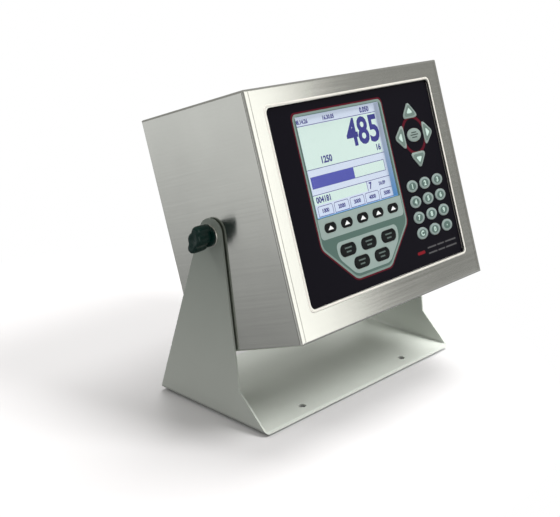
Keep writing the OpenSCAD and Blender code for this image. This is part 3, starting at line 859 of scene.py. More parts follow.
@dataclass
class Enclosure:
    """The folded case: the rolled edge round its panel and its front seams."""

    width: float = 272 * MM
    height: float = 210 * MM
    corner: float = 2 * MM
    opening_width: float = 230.6 * MM
    opening_height: float = 168 * MM
    opening_up: float = 3.6 * MM
    opening_corner: float = 5 * MM
    edge_width: float = 3.0 * MM
    edge_corner: float = 5.5 * MM
    edge_radius: float = 1.4 * MM
    edge_proud: float = 0.35 * MM
    panel_depth: float = 2.3 * MM
    seam_width: float = 0.45 * MM
    seam_in: float = 5 * MM
    edge_facets: int = 5
    edge_smooth: float = 60.0

    def opening(self, grow: float = 0.0) -> list[Point]:
        """Lists the panel opening's corners, moved outwards by a margin."""
        width, height = self.opening_width + 2 * grow, self.opening_height + 2 * grow
        return box_outline(width, height, (0, self.opening_up))

    def rolled_edge(self) -> None:
        """Makes the rounded edge that leads from the front sheet down to the panel. Its rounding is real; its
        pale cream colour, lighter than the case steel, is a painted highlight.
        """
        edge = frame_plate(self.opening(self.edge_width), self.edge_corner, self.edge_width, -self.edge_proud,
                           self.panel_depth, self.edge_radius, ROUND_END_FACETS, self.edge_facets)
        piece = Piece("panel_rolled_edge", "enclosure", "brushed_case")
        piece.add(edge, EDGE_STEEL_PAINTED_HIGHLIGHT).put(CASE, smooth=self.edge_smooth)

    def seams(self) -> None:
        """Makes the fine seams on both sides of the front's upright folds, drawn as thin dark strips that are
        painted shade in the seams.
        """
        length = self.height - 2 * self.corner
        piece = Piece("front_fold_seams_painted_shade", "enclosure", "brushed_case")
        for side in (-1, 1):
            x = side * (self.width / 2 - self.seam_in)
            piece.add(plate(box_outline(self.seam_width, length, (x, 0)), 0, -HAIR, HAIR), SEAM_PAINTED_SHADE)
            strip = plate(box_outline(2 * HAIR, length, (side * self.width / 2, 0)), 0, self.corner,
                          self.corner + self.seam_width)
            piece.add(strip, SEAM_PAINTED_SHADE)
        piece.put(CASE)

    def build(self) -> None:
        """Builds the pieces."""
        self.rolled_edge()
        self.seams()


@dataclass(frozen=True)
class KeyForm:
    """A kind of key on the panel."""

    width: float
    height: float
    slot: str
    finish: Finish
    oval: bool = False


SOFT_KEY = KeyForm(15.6 * MM, 8.0 * MM, "black_key", BLACK_KEY)
FUNCTION_KEY = KeyForm(21.7 * MM, 10.6 * MM, "black_key", BLACK_KEY)
NUMBER_KEY = KeyForm(17.0 * MM, 11.0 * MM, "green_key", GREEN_KEY, oval=True)
ENTER_KEY = KeyForm(21.6 * MM, 12.6 * MM, "grey_key", GREY_KEY, oval=True)
ARROW_KEY = KeyForm(20.0 * MM, 14.0 * MM, "grey_key", GREY_KEY)


@dataclass
class Keypad:
    """The printed overlay and the keys that stand in its apertures."""

    case: Enclosure = field(default_factory=Enclosure)
    film: float = 2.3 * MM
    key_front: float = 1.8 * MM
    key_back: float = 3.05 * MM
    gap: float = 0.25 * MM
    rim: float = 0.35 * MM
    soft_row: Point = (-22.5 * MM, -20.1 * MM)
    soft_pitch: float = 22.4 * MM
    function_row: Point = (-21.7 * MM, -42.7 * MM)
    function_low: float = -56.5 * MM
    function_pitch: float = 29.2 * MM
    row_count: int = 5
    arrows: Point = (78.1 * MM, 39.2 * MM)
    arrow_reach: Point = (21.9 * MM, 23.0 * MM)
    numbers: Point = (78.4 * MM, -6.5 * MM)
    number_pitch: Point = (20.4 * MM, 14.8 * MM)
    arrow_corner: float = 3.0 * MM
    shield_left: float = -84.2 * MM
    shield_right: float = 39.1 * MM
    shield_top: float = 78.4 * MM
    shield_knee: float = -36.1 * MM
    shield_foot: float = -69.8 * MM
    foot_left: float = -46.9 * MM
    foot_right: float = 2.6 * MM
    window: tuple[Point, Point] = ((-80.5 * MM, -10.5 * MM), (34.7 * MM, 75.9 * MM))
    shield_bend: float = math.radians(45)
    shield_cuts: tuple[float, ...] = (4 * MM, 4 * MM, 4 * MM, 5 * MM, 5 * MM, 4 * MM)
    red_outline: float = 1.5 * MM
    pale_rim: float = 1.9 * MM
    soft_band: tuple[Point, Point] = ((-81.6 * MM, -29.0 * MM), (36.6 * MM, -11.0 * MM))
    soft_band_cuts: tuple[float, ...] = (4 * MM, 4 * MM, 0, 0)
    function_field: tuple[Point, ...] = (
        (-46.0 * MM, -65.6 * MM), (2.4 * MM, -65.6 * MM), (21.9 * MM, -47.5 * MM), (21.9 * MM, -34.3 * MM),
        (-65.3 * MM, -34.3 * MM), (-65.3 * MM, -47.5 * MM))
    function_field_cut: float = 5 * MM
    ring_size: float = 37 * MM
    ring_width: float = 3.0 * MM
    ring_facets: int = 12
    band_level: int = 5
    dash_spans: tuple[Point, ...] = ((61 * MM, 75 * MM), (77 * MM, 88 * MM), (90 * MM, 108 * MM))
    dash_rows: Point = (-65.6 * MM, -70.8 * MM)
    dash_height: float = 1.5 * MM
    red_bar: Point = (12 * MM, 2.8 * MM)
    red_bar_place: Point = (50 * MM, -68.0 * MM)
    soft_mark: Point = (7.4 * MM, 3.6 * MM)
    soft_mark_corner: float = 0.5 * MM
    function_strokes: tuple[Point, ...] = ((9.5 * MM, 1.7 * MM), (6.5 * MM, -1.7 * MM))
    function_stroke: float = 1.3 * MM
    enter_strokes: tuple[Point, ...] = ((8 * MM, 2.4 * MM), (12 * MM, 0.2 * MM), (8 * MM, -2.2 * MM))
    enter_stroke: float = 1.0 * MM
    disc_margin: Point = (6.0 * MM, 3.9 * MM)
    figure_height: float = 4.8 * MM
    point_height: float = 1.5 * MM
    figure_stretch: float = 1.15
    figure_bold: float = 0.05
    arrow_field: float = 0.76
    arrow_mark: float = 0.36
    legends: dict[str, str] = field(default_factory=lambda: {
        **{f"key_{n}": str(n) for n in (*range(1, 10), 0)}, "key_clear": "C", "key_point": "."})

    def shield(self, grow: float) -> list[Point]:
        """Lists the corners of the shield round the display and the function keys.

        Args:
            grow: How far the outline is moved outwards.

        Returns:
            The six corners in X and Z.
        """
        slant = grow * math.tan(self.shield_bend / 2)
        left, right = self.shield_left - grow, self.shield_right + grow
        knee, foot, top = self.shield_knee - slant, self.shield_foot - grow, self.shield_top + grow
        return [(self.foot_left - slant, foot), (self.foot_right + slant, foot), (right, knee), (right, top),
                (left, top), (left, knee)]

    def places(self) -> dict[str, tuple[KeyForm, Point, float]]:
        """Finds where every key is.

        Returns:
            Each key's form, middle and turn in degrees, under its node's name.
        """
        found: dict[str, tuple[KeyForm, Point, float]] = {}
        for i in range(self.row_count):
            place = (self.soft_row[0] + (i - 2) * self.soft_pitch, self.soft_row[1])
            found[f"soft_key_{i + 1}"] = (SOFT_KEY, place, 0)
        for i in range(3):
            x = self.function_row[0] + (i - 1) * self.function_pitch
            found[f"function_key_{i + 1}"] = (FUNCTION_KEY, (x, self.function_row[1]), 0)
        for i in range(2):
            x = self.function_row[0] + (i - 0.5) * self.function_pitch
            found[f"function_key_{i + 4}"] = (FUNCTION_KEY, (x, self.function_low), 0)
        for i, name in enumerate(("arrow_up", "arrow_right", "arrow_down", "arrow_left")):
            heading = math.radians(90 - 90 * i)
            place = (self.arrows[0] + self.arrow_reach[0] * math.cos(heading),
                     self.arrows[1] + self.arrow_reach[1] * math.sin(heading))
            found[name] = (ARROW_KEY, place, -90.0 * i)
        found["enter_key"] = (ENTER_KEY, self.arrows, 0)
        names = [*(f"key_{n}" for n in range(1, 10)), "key_clear", "key_0", "key_point"]
        for i, name in enumerate(names):
            place = (self.numbers[0] + (i % 3 - 1) * self.number_pitch[0],
                     self.numbers[1] - i // 3 * self.number_pitch[1])
            found[name] = (NUMBER_KEY, place, 0)
        return found

    def arrow(self, grow: float, front: float, back: float, rim: float = 0.0) -> Mesh:
        """Makes a round-cornered triangle that points up.

        Args:
            grow: How far the outline is moved outwards.
            front: Y of the front.
            back: Y of the back.
            rim: Radius of the front's edges.

        Returns:
            A bmesh with the plate, round the origin.
        """
        out = self.arrow_corner + grow
        half, rise = ARROW_KEY.width / 2 - self.arrow_corner, ARROW_KEY.height / 2 - self.arrow_corner
        lean = math.atan2(2 * rise, half)
        base_cut = out / math.tan(lean / 2)
        top_cut = out / math.tan(math.pi / 2 - lean)
        low = -rise - out
        corners = [(-half - base_cut, low), (half + base_cut, low), (0, rise + out / math.cos(lean))]
        return plate(corners, (base_cut, base_cut, top_cut), front, back, rim)

    def outline(self, form: KeyForm, place: Point, turn: float, grow: float, front: float, back: float,
                rim: float = 0.0) -> Mesh:
        """Makes a plate in a key's outline.

        Args:
            form: The key's form.
            place: Its middle in X and Z.
            turn: How far it is turned, in degrees.
            grow: How far the outline is moved outwards.
            front: Y of the front.
            back: Y of the back.
            rim: Radius of the front's edges.

        Returns:
            A bmesh with the plate.
        """
        width, height = form.width + 2 * grow, form.height + 2 * grow
        if form.oval:
            return oval(width, height, place, front, back, rim)
        if form is not ARROW_KEY:
            return pill(width, height, place, front, back, rim)
        bm = self.arrow(grow, front, back, rim)
        turn_to(bm, turn, place)
        return bm

    def strokes(self, piece: Piece, place: Point, rows: Sequence[Point], height: float,
                finish: Finish) -> None:
        """Adds short level strokes to a key.

        Args:
            piece: The key.
            place: Its middle in X and Z.
            rows: Each stroke's width, and how far it is above the middle.
            height: The strokes' height.
            finish: Their finish.
        """
        face = self.key_front - HAIR
        for width, up in rows:
            stroke = box_outline(width, height, (place[0], place[1] + up))
            piece.add(plate(stroke, 0, face, face + HAIR), finish)

    def legend(self, piece: Piece, name: str, form: KeyForm, place: Point, turn: float) -> None:
        """Adds a key's mark or figure.

        Args:
            piece: The key.
            name: Its node's name.
            form: Its form.
            place: Its middle in X and Z.
            turn: How far it is turned, in degrees.
        """
        face = self.key_front - HAIR
        if form is SOFT_KEY:
            left_low, right_low, right_high, left_high = box_outline(*self.soft_mark, place)
            mark = [left_low, right_low, (place[0], right_high[1])]
            piece.add(plate(mark, self.soft_mark_corner, face, face + HAIR), WHITE_INK)
        elif form is FUNCTION_KEY:
            self.strokes(piece, place, self.function_strokes, self.function_stroke, KEY_MARK)
        elif form is ENTER_KEY:
            self.strokes(piece, place, self.enter_strokes, self.enter_stroke, DARK_MARK)
        elif form is NUMBER_KEY:
            across, up = self.disc_margin
            piece.add(oval(form.width - across, form.height - up, place, face, face + HAIR), KEY_DISC)
            figure = self.legends[name]
            height = self.point_height if figure == "." else self.figure_height
            number = lettering(figure, height, place, face - HAIR, self.figure_stretch, self.figure_bold)
            piece.add(number, PALE_INK)
        else:
            marks = ((self.arrow_field, 0.0, ARROW_FIELD), (self.arrow_mark, HAIR, PALE_INK))
            for size, raised, finish in marks:
                mark = self.arrow(0.0, face - raised, face + HAIR)
                bmesh.ops.scale(mark, verts=mark.verts, vec=(size, 1, size))
                turn_to(mark, turn, place)
                piece.add(mark, finish)

    def key(self, name: str, form: KeyForm, place: Point, turn: float) -> None:
        """Makes one key with its legend.

        Args:
            name: Its node's name.
            form: Its form.
            place: Its middle in X and Z.
            turn: How far it is turned, in degrees.
        """
        piece = Piece(f"{name}_cap", name, form.slot)
        piece.add(self.outline(form, place, turn, 0.0, self.key_front, self.key_back, self.rim), form.finish)
        self.legend(piece, name, form, place, turn)
        piece.put(CASE, name)

    def keys(self) -> None:
        """Makes all the keys."""
        for name, (form, place, turn) in self.places().items():
            self.key(name, form, place, turn)

    def apertures(self, forms: Iterable[KeyForm]) -> Mesh:
        """Makes the shape of the holes that the print needs.

        Args:
            forms: The forms of the keys that get a hole. The display always has one.

        Returns:
            A bmesh to cut out.
        """
        holes = Piece("holes", "enclosure", "overlay_film")
        front, back = self.film - MM, self.film + MM
        holes.add(plate(between(*self.window), 0, front, back), OVERLAY)
        for form, place, turn in self.places().values():
            if form in forms:
                holes.add(self.outline(form, place, turn, self.gap, front, back), OVERLAY)
        return holes.bm

    def layer(self, name: str, shape: Mesh, finish: Finish, forms: Iterable[KeyForm]) -> None:
        """Makes one printed layer, with a hole for the display.

        Args:
            name: The piece's name.
            shape: Its shape before the holes.
            finish: Its ink.
            forms: The forms of the keys that get a hole.
        """
        Piece(name, "enclosure", "overlay_film").add(shape, finish).put(CASE, cutter=self.apertures(forms))

    def print_layers(self) -> None:
        """Makes the printed shield, its bands and the ring round the enter key."""
        face = self.film
        black = (SOFT_KEY, FUNCTION_KEY)
        everywhere = (*black, NUMBER_KEY, ENTER_KEY, ARROW_KEY)
        whole = plate(self.case.opening(), self.case.opening_corner, face - HAIR, face)
        self.layer("overlay_face", whole, OVERLAY, everywhere)
        steps = (("shield_red_outline", self.red_outline, RED_INK), ("shield_pale_rim", 0.0, RIM_INK),
                 ("shield_teal_field", -self.pale_rim, TEAL_INK))
        for level, (name, grow, ink) in enumerate(steps, start=2):
            shape = plate(self.shield(grow), self.shield_cuts, face - level * HAIR, face)
            self.layer(name, shape, ink, black)
        front = face - self.band_level * HAIR
        band = plate(between(*self.soft_band), self.soft_band_cuts, front, face)
        self.layer("soft_key_band", band, BAND_INK, black)
        lower_band = plate(self.function_field, self.function_field_cut, front, face)
        self.layer("function_key_field", lower_band, BAND_INK, black)
        ring = frame_plate(box_outline(self.ring_size, self.ring_size, self.arrows), self.ring_size / 2,
                           self.ring_width, face - 2 * HAIR, face, segments=self.ring_facets)
        self.layer("enter_red_ring", ring, RED_INK, (ENTER_KEY, ARROW_KEY))

    def lower_right_rules(self) -> None:
        """Makes the plain dashes and the red bar at the lower right."""
        front, back = self.film - 2 * HAIR, self.film
        rules = Piece("lower_right_rules", "enclosure", "overlay_film")
        for start, end in self.dash_spans:
            for row in self.dash_rows:
                dash = box_outline(end - start, self.dash_height, ((start + end) / 2, row))
                rules.add(plate(dash, 0, front, back), RULE_INK)
        rules.add(pill(*self.red_bar, self.red_bar_place, front, back), BRIGHT_RED_INK)
        rules.put(CASE)

    def build(self) -> None:
        """Builds the pieces."""
        self.print_layers()
        self.lower_right_rules()
        self.keys()


@dataclass(frozen=True)
class Figures:
    """Small plain figures on the display."""

    text: str
    height: float
    centre: Point


@dataclass
class Display:
    """The lit picture on the display's glass, with a generic reading, and the lit walls of its window."""

    glass: float = 7.3 * MM
    wall_front: float = 2.4 * MM
    wall: float = 0.4 * MM
    left: float = -80.5 * MM
    right: float = 34.7 * MM
    low: float = -10.5 * MM
    high: float = 75.9 * MM
    line: float = 0.5 * MM
    mint_fields: tuple[tuple[Point, Point], ...] = (
        ((-80.5 * MM, 30.6 * MM), (32.7 * MM, 67.4 * MM)),
        ((-73 * MM, 14.2 * MM), (31 * MM, 24.2 * MM)),
        ((-80.5 * MM, 0.4 * MM), (-1 * MM, 8.4 * MM)))
    rules: tuple[float, ...] = (67.7 * MM, 30.3 * MM, 8.6 * MM)
    bar: tuple[Point, Point] = ((-72.7 * MM, 14.3 * MM), (-14 * MM, 24.3 * MM))
    bar_frame: Point = (103.8 * MM, 10.2 * MM)
    bar_frame_place: Point = (-20.8 * MM, 19.3 * MM)
    divider: float = -0.4 * MM
    reading_height: float = 25.2 * MM
    reading_place: Point = (10.4 * MM, 53.9 * MM)
    reading_bold: float = 0.026
    squeeze: float = 0.95
    bold: float = 0.04
    small: tuple[Figures, ...] = (
        Figures("16", 6.0 * MM, (28.2 * MM, 36.4 * MM)),
        Figures("1250", 6.4 * MM, (-46.0 * MM, 36.8 * MM)),
        Figures("08.14.26", 4.0 * MM, (-68 * MM, 71.6 * MM)),
        Figures("16.30.05", 4.0 * MM, (-32 * MM, 71.6 * MM)),
        Figures("0.050", 5.0 * MM, (19 * MM, 71.8 * MM)),
        Figures("004181", 5.6 * MM, (-62 * MM, 4.4 * MM)),
        Figures("7", 6.4 * MM, (4.6 * MM, 4.4 * MM)),
        Figures("24.09", 3.6 * MM, (21.5 * MM, 4.2 * MM)))
    tab_count: int = 5
    tab_step: int = 1000
    tab: Point = (20 * MM, 9 * MM)
    tab_start: Point = (-62.2 * MM, -5.4 * MM)
    tab_pitch: float = 22.0 * MM
    tab_cuts: tuple[float, ...] = (0, 0, 2 * MM, 2 * MM)
    tab_figures: float = 3.8 * MM

    def _zone(self, low: Point, high: Point, level: int) -> Mesh:
        """Makes a flat field between two corners, raised by a number of hairs."""
        return plate(between(low, high), 0, self.glass - level * HAIR, self.glass)

    def grounds(self) -> None:
        """Makes the pale fields of the picture and the walls round it."""
        low, high = (self.left, self.low), (self.right, self.high)
        piece = Piece("display_grounds", "enclosure", "lcd_glass")
        piece.add(self._zone(low, high, 1), WHITE_GROUND)
        for corners in self.mint_fields:
            piece.add(self._zone(*corners, 2), MINT_GROUND)
        piece.add(frame_plate(between(low, high), 0, self.wall, self.wall_front, self.glass), LIT_WALL)
        piece.put(CASE)

    def tabs(self, piece: Piece, face: float) -> None:
        """Adds the five numbered tabs at the picture's foot.

        Args:
            piece: The reading.
            face: Y of its front.
        """
        for i in range(self.tab_count):
            place = (self.tab_start[0] + i * self.tab_pitch, self.tab_start[1])
            tab = frame_plate(box_outline(*self.tab, place), self.tab_cuts, self.line, face, self.glass)
            piece.add(tab, DISPLAY_INK)
            number = lettering(str(self.tab_step * (i + 1)), self.tab_figures, place, face, 1.0, self.bold)
            piece.add(number, DISPLAY_INK)

    def reading(self) -> None:
        """Makes the reading, its bar, its rules and its small figures."""
        piece = Piece("display_reading", "enclosure", "lcd_glass")
        face = self.glass - 3 * HAIR
        for z in self.rules:
            piece.add(self._zone((self.left, z), (self.right, z + self.line), 3), DISPLAY_INK)
        piece.add(self._zone(*self.bar, 4), BAR_INK)
        frame_outline = box_outline(*self.bar_frame, self.bar_frame_place)
        piece.add(frame_plate(frame_outline, 0, self.line, face, self.glass), DISPLAY_INK)
        piece.add(self._zone((self.divider, 0.0), (self.divider + self.line, self.rules[-1]), 3), DISPLAY_INK)
        big = lettering("485", self.reading_height, self.reading_place, face, self.squeeze, self.reading_bold)
        piece.add(big, DISPLAY_INK)
        for entry in self.small:
            figures = lettering(entry.text, entry.height, entry.centre, face, self.squeeze, self.bold)
            piece.add(figures, DISPLAY_INK)
        self.tabs(piece, face)
        piece.put(CASE)

    def build(self) -> None:
        """Builds the pieces."""
        self.grounds()
        self.reading()


@dataclass
class TiltKnob:
    """A winged clamping knob on one side of the stand."""

    side: int
    inner: float = 140.9 * MM
    length: float = 20 * MM
    hub: float = 6.8 * MM
    wing: float = 4.0 * MM
    reach: float = 12.6 * MM
    turn: float = math.radians(14)
    spokes: int = 56
    blend: float = 9.0
    dip: float = 2.4 * MM
    dip_start: float = 0.6
    neck: tuple[Point, ...] = ((0.0, 8.5 * MM), (0.5 * MM, 9.0 * MM), (2.2 * MM, 8.9 * MM))
    stations: tuple[Point, ...] = (
        (2.7, 0.88), (3.6, 0.94), (5.5, 0.97), (9.0, 0.99), (13.0, 1.0), (16.2, 0.99), (18.2, 0.95),
        (19.3, 0.875), (19.85, 0.77), (20.0, 0.66), (19.9, 0.5), (19.75, 0.3), (19.7, 0.1))
    smooth: float = 50.0

    def radius(self, angle: float) -> float:
        """Finds the radius of the cross-section, the hub blended with two wings that lie along Z.

        Args:
            angle: The heading from +Y towards +Z.

        Returns:
            The radius there.
        """
        across, along = abs(math.cos(angle)), abs(math.sin(angle))
        far = self.reach - self.wing
        side = self.wing / across if across else math.inf
        if side * along > far:
            side = far * along + math.sqrt(max(0.0, self.wing ** 2 - (far * across) ** 2))
        return (self.hub ** self.blend + side ** self.blend) ** (1 / self.blend)

    def body(self) -> Mesh:
        """Makes the knob's skin by extruding a ring along its axis, +X.

        Returns:
            A bmesh with the skin.
        """
        bm = bmesh.new()
        ring = bmesh.ops.create_circle(bm, cap_ends=False, segments=self.spokes, radius=1.0)["verts"]
        sections = [(along, lambda a, r=r: r) for along, r in self.neck]
        sections += [(along * MM, lambda a, s=s: s * self.radius(a)) for along, s in self.stations]
        for i, (along, reach) in enumerate(sections):
            if i:
                edges = [e for e in bm.edges if all(v in ring for v in e.verts)]
                swept = bmesh.ops.extrude_edge_only(bm, edges=edges)["geom"]
                ring = [g for g in swept if isinstance(g, bmesh.types.BMVert)]
            end_share = max(0.0, along / self.length - self.dip_start) / (1 - self.dip_start)
            for v in ring:
                angle = math.atan2(v.co.z, v.co.y) if i else math.atan2(v.co.y, v.co.x)
                r = reach(angle)
                dip = self.dip * end_share * (1 - min(1.0, r / self.reach)) if i >= len(self.neck) else 0.0
                v.co = (self.inner + along - dip, r * math.cos(angle), r * math.sin(angle))
        last = [e for e in bm.edges if all(v in ring for v in e.verts)]
        bmesh.ops.edgeloop_fill(bm, edges=last)
        bmesh.ops.recalc_face_normals(bm, faces=bm.faces)
        return bm

    def build(self) -> None:
        """Builds the knob in place of its node."""
        name = "left" if self.side < 0 else "right"
        place = (Matrix.Translation(PIVOT) @ Matrix.Rotation(math.pi if self.side < 0 else 0, 4, "Z")
                 @ Matrix.Rotation(self.side * self.turn, 4, "X"))
        piece = Piece(f"{name}_winged_knob", f"{name}_knob", "knob_plastic")
        piece.add(self.body(), KNOB_PLASTIC).put(place, f"{name}_tilt_knob", smooth=self.smooth)


@dataclass
class CordGrips:
    """The cord grips in the back plate, with ribbed dome nuts and blanking plugs."""

    count: int = 4
    pitch: float = 40 * MM
    below: float = 60 * MM
    seat: float = 136.05 * MM
    nut_profile: tuple[Point, ...] = (
        (0.0, 4.6 * MM), (0.0, 10.4 * MM), (0.6 * MM, 11.0 * MM), (9.5 * MM, 11.0 * MM),
        (10.6 * MM, 10.65 * MM), (17.2 * MM, 7.7 * MM), (18.0 * MM, 6.8 * MM), (18.0 * MM, 4.6 * MM))
    nut_length: float = 18 * MM
    nut_smooth: float = 20.0
    ribs: int = 30
    rib_length: float = 10 * MM
    rib_radius: float = 10.8 * MM
    rib_depth: float = 0.55 * MM
    plug_profile: tuple[Point, ...] = (
        (-9.0 * MM, 0.0), (-9.0 * MM, 4.4 * MM), (0.0, 4.4 * MM), (0.0, 5.9 * MM), (0.8 * MM, 5.9 * MM),
        (1.3 * MM, 5.2 * MM), (1.5 * MM, 4.0 * MM), (1.5 * MM, 0.0))
    plug_facets: int = 32

    def places(self) -> list[Point]:
        """Lists the grips' middles in X and Z."""
        return [((i - (self.count - 1) / 2) * self.pitch, -self.below) for i in range(self.count)]

    def nut(self, place: Point) -> Mesh:
        """Makes a ribbed dome nut.

        Args:
            place: Its middle in X and Z.

        Returns:
            A bmesh with the nut.
        """
        bm = lathe(self.nut_profile, 2 * self.ribs)
        for v in bm.verts:
            radius = math.hypot(v.co.x, v.co.z)
            spoke = round(math.atan2(v.co.z, v.co.x) / (math.pi / self.ribs))
            if spoke % 2 and radius > self.rib_radius and v.co.y < self.rib_length:
                v.co.x *= 1 - self.rib_depth / radius
                v.co.z *= 1 - self.rib_depth / radius
        bmesh.ops.translate(bm, verts=bm.verts, vec=(place[0], self.seat, place[1]))
        return bm

    def plug(self, place: Point) -> Mesh:
        """Makes a blanking plug with a low round head.

        Args:
            place: Its middle in X and Z.

        Returns:
            A bmesh with the plug.
        """
        bm = lathe(self.plug_profile, self.plug_facets)
        bmesh.ops.translate(bm, verts=bm.verts, vec=(place[0], self.seat + self.nut_length, place[1]))
        return bm

    def build(self) -> None:
        """Builds the grips in place of their nodes."""
        nuts = Piece("ribbed_dome_nuts", "enclosure", "black_nylon")
        plugs = Piece("blanking_plugs", "enclosure", "black_rubber")
        for place in self.places():
            nuts.add(self.nut(place), NYLON)
            plugs.add(self.plug(place), RUBBER)
        nuts.put(CASE, smooth=self.nut_smooth)
        plugs.put(CASE, "grip_plugs")


@dataclass(frozen=True)
class Lamp:
    """A square soft lamp."""

    name: str
    place: Triple
    size: float
    power: float
    color: Color = (1.0, 0.99, 0.98)
    target: Triple = (0.0, 0.0, 0.1)


@dataclass
class Studio:
    """The pale floor, the soft lights, the surroundings and the camera."""

    floor_radius: float = 9.0
    floor_facets: int = 64
    floor_roughness: float = 0.9
    floor_gloss: float = 0.1
    floor_z: float = -2.5 * MM
    floor_color: Color = (0.7, 0.695, 0.705)
    floor_bounce: Color = (0.27, 0.27, 0.27)
    floor_lift: float = 0.03
    rim_middle: Triple = (-0.08, 0.09, 0.0)
    rim_reach: Point = (0.24, 0.36)
    # Glow of the floor as the steel mirrors it, near and far: dimmer near the object, a painted shadow in the
    # reflections.
    grade: Point = (0.28, 0.84)
    grade_reach: Point = (0.25, 1.15)
    walls: Point = (0.27, 0.5)
    screen: Point = (-10.0, 48.0)
    screen_lean: float = 0.25
    screen_top: Point = (0.70, 0.45)
    screen_soft: float = 0.014
    screen_light: float = 1.35
    camera_place: Triple = (-780.41 * MM, -613.63 * MM, 449.48 * MM)
    camera_right: Triple = (0.65788, -0.75175, 0.04549)
    camera_down: Triple = (-0.21681, -0.24688, -0.94448)
    focal_length: float = 71.894
    sensor_width: float = 36.0
    clip: Point = (0.01, 100.0)
    wall_reach: Point = (0.0, 0.9)
    wall_color: Color = (1.0, 0.985, 0.95)
    lamps: tuple[Lamp, ...] = (
        Lamp("top_lamp", (0.8, 0.3, 2.1), 1.4, 45.0),
        Lamp("key_lamp", (0.8, -1.35, 2.05), 0.9, 46.0),
        Lamp("side_lamp", (-1.3, 1.3, 1.5), 0.6, 6.0, (1.0, 0.99, 0.97), (0.0, 0.0, 0.12)))

    def camera(self) -> None:
        """Places the camera as the photograph's."""
        lens = bpy.data.cameras.new("camera")
        lens.lens = self.focal_length
        lens.sensor_width = self.sensor_width
        lens.clip_start, lens.clip_end = self.clip
        made = bpy.data.objects.new("camera", lens)
        right, up = Vector(self.camera_right), -Vector(self.camera_down)
        turn = Matrix((right, up, right.cross(up))).transposed()
        made.matrix_world = Matrix.Translation(self.camera_place) @ turn.to_4x4()
        bpy.context.scene.collection.objects.link(made)
        bpy.context.scene.camera = made

    def light(self, lamp: Lamp) -> None:
        """Adds a lamp that points at the object, and that polished faces don't mirror.

        Args:
            lamp: The lamp.
        """
        light = bpy.data.lights.new(lamp.name, "AREA")
        light.size = lamp.size
        light.energy = lamp.power
        light.color = lamp.color
        made = bpy.data.objects.new(lamp.name, light)
        away = Vector(lamp.place) - Vector(lamp.target)
        made.matrix_world = Matrix.Translation(lamp.place) @ away.to_track_quat("Z", "Y").to_matrix().to_4x4()
        made.visible_glossy = False
        bpy.context.scene.collection.objects.link(made)

    def floor(self) -> None:
        """Makes the floor, which is white to the camera and keeps the object's shadow."""
        bm = bmesh.new()
        bmesh.ops.create_circle(bm, cap_ends=True, segments=self.floor_facets, radius=self.floor_radius)
        bmesh.ops.translate(bm, verts=bm.verts, vec=(0, 0, self.floor_z))
        mesh = bpy.data.meshes.new("floor")
        bm.to_mesh(mesh)
        bm.free()
        made = bpy.data.objects.new("floor", mesh)
        bpy.context.scene.collection.objects.link(made)
        made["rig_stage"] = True
        mesh.materials.append(self.paper())

    def paper(self) -> bpy.types.Material:
        """Makes the floor's paper, with a lift and a white rim for the camera, and, for the steel's
        reflections, a glow that is dimmer near the object as painted shadow.

        Returns:
            The material.
        """
        made = bpy.data.materials.new("floor_paper")
        made.use_nodes = True
        nodes = made.node_tree.nodes
        graph = Graph(made.node_tree)
        rays = graph.node("LightPath").outputs
        shader = nodes["Principled BSDF"]
        shader.inputs["Roughness"].default_value = self.floor_roughness
        shader.inputs["Specular IOR Level"].default_value = self.floor_gloss
        shader.inputs["Emission Color"].default_value = (1, 1, 1, 1)
        tone = graph.tint(rays["Is Camera Ray"], (*self.floor_bounce, 1), (*self.floor_color, 1))
        graph.feed(shader.inputs["Base Color"], tone)
        lift = graph.calculation("MULTIPLY", rays["Is Camera Ray"], self.floor_lift)
        graph.feed(shader.inputs["Emission Strength"], lift)
        rim = self._by_distance(graph, self.rim_middle, self.rim_reach, (0.0, 1.0))
        seen = graph.calculation("MULTIPLY", rim, rays["Is Camera Ray"])
        white, shaded_reflection_glow = graph.node("Emission"), graph.node("Emission")
        # The floor that the steel mirrors glows dimmer near the object: painted shadow.
        grade = self._by_distance(graph, (0.0, 0.0, 0.0), self.grade_reach, self.grade)
        graph.feed(shaded_reflection_glow.inputs["Strength"], grade)
        surface = graph.surface(seen, shader.outputs["BSDF"], white.outputs["Emission"])
        surface = graph.surface(rays["Is Glossy Ray"], surface, shaded_reflection_glow.outputs["Emission"])
        graph.feed(nodes["Material Output"].inputs["Surface"], surface)
        return made

    def _by_distance(self, graph: Graph, middle: Triple, reach: Point, values: Point) -> Socket:
        """Adds a value that changes with the distance on the floor.

        Args:
            graph: The floor's nodes.
            middle: Where the distance starts.
            reach: The distances at which the change starts and ends.
            values: The values there.

        Returns:
            The socket with the value.
        """
        distance = graph.node("VectorMath")
        distance.operation = "LENGTH"
        place = graph.mapped(graph.coordinates("Object"), "TEXTURE", location=middle)
        graph.feed(distance.inputs[0], place)
        return graph.ramp(distance.outputs["Value"], reach, values)

    def _screen_side(self, graph: Graph, heading: Socket, edge: float, turn: int) -> Socket:
        """Adds one upright side of the bright screen.

        Args:
            graph: The world's nodes.
            heading: The socket with the direction looked in.
            edge: The side's azimuth in degrees, from -Y towards +X.
            turn: 1 where the screen lies past that azimuth, -1 where it lies before it.

        Returns:
            A socket that is 1 on the screen's side and 0 past its soft edge.
        """
        azimuth = math.radians(edge)
        across = graph.node("VectorMath")
        across.operation = "DOT_PRODUCT"
        lean = self.screen_lean if turn < 0 else 0.0
        across.inputs[1].default_value = (turn * math.cos(azimuth), turn * math.sin(azimuth), lean)
        graph.feed(across.inputs[0], heading)
        return graph.ramp(across.outputs["Value"], (-self.screen_soft, self.screen_soft))

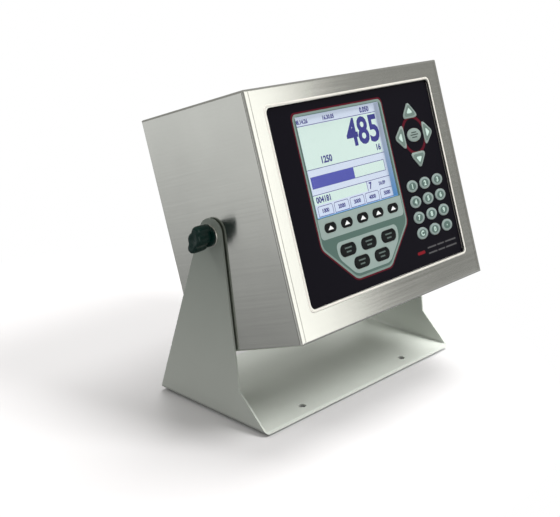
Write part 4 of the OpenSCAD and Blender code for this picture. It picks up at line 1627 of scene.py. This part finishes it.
    def surroundings(self) -> None:
        """Makes the walls, white to the camera, and the bright front screen that steel mirrors."""
        world = bpy.data.worlds.new("studio")
        bpy.context.scene.world = world
        world.use_nodes = True
        nodes = world.node_tree.nodes
        graph = Graph(world.node_tree)
        rays = graph.node("LightPath").outputs
        heading = graph.coordinates("Generated")
        height = graph.height(heading)
        first, last = self.screen
        lit = graph.calculation("MINIMUM", self._screen_side(graph, heading, first, 1),
                                self._screen_side(graph, heading, last, -1))
        lit = graph.calculation("MULTIPLY", lit, graph.ramp(height, self.screen_top))
        lit = graph.calculation("MULTIPLY", lit, rays["Is Glossy Ray"])
        plain = graph.ramp(height, self.wall_reach, self.walls)
        walls = nodes["Background"]
        walls.inputs["Color"].default_value = (*self.wall_color, 1)
        graph.feed(walls.inputs["Strength"], graph.calculation("MULTIPLY_ADD", lit, self.screen_light, plain))
        backdrop = graph.node("Background")
        backdrop.inputs["Color"].default_value = (1, 1, 1, 1)
        surface = graph.surface(rays["Is Camera Ray"], walls.outputs["Background"],
                                backdrop.outputs["Background"])
        graph.feed(nodes["World Output"].inputs["Surface"], surface)

    def build(self) -> None:
        """Builds the studio."""
        scene = bpy.context.scene
        scene.view_settings.view_transform = "Standard"
        self.floor()
        self.surroundings()
        self.camera()
        for lamp in self.lamps:
            self.light(lamp)


def dress_nodes() -> None:
    """Gives every CAD node the finish of its slot in the record."""
    for part in frame["record"]["subparts"]:
        node = frame["nodes"][part["node"]]
        node.data.materials.clear()
        node.data.materials.append(SLOT_FINISHES[part["material_slot"]].material())


def dress_edges() -> None:
    """Dresses the sharp edges of the bent stand, the covers and the small parts that show."""
    for entry in DRESSED_NODES:
        entry.build()


def main() -> None:
    """Builds the looks in order."""
    logging.basicConfig(level=logging.INFO, format="%(name)s: %(message)s")
    dress_nodes()
    steps: list[tuple[str, Callable[[], None]]] = [
        ("edges", dress_edges),
        ("enclosure", Enclosure().build),
        ("keypad", Keypad().build),
        ("display", Display().build),
        ("left knob", TiltKnob(-1).build),
        ("right knob", TiltKnob(1).build),
        ("cord grips", CordGrips().build),
        ("studio", Studio().build),
    ]
    for name, build in steps:
        build()
        log.info("built the %s", name)
    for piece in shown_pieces():
        log.info("%s: %d faces", piece.name, len(piece.data.polygons))


if __name__ == "__main__":
    main()
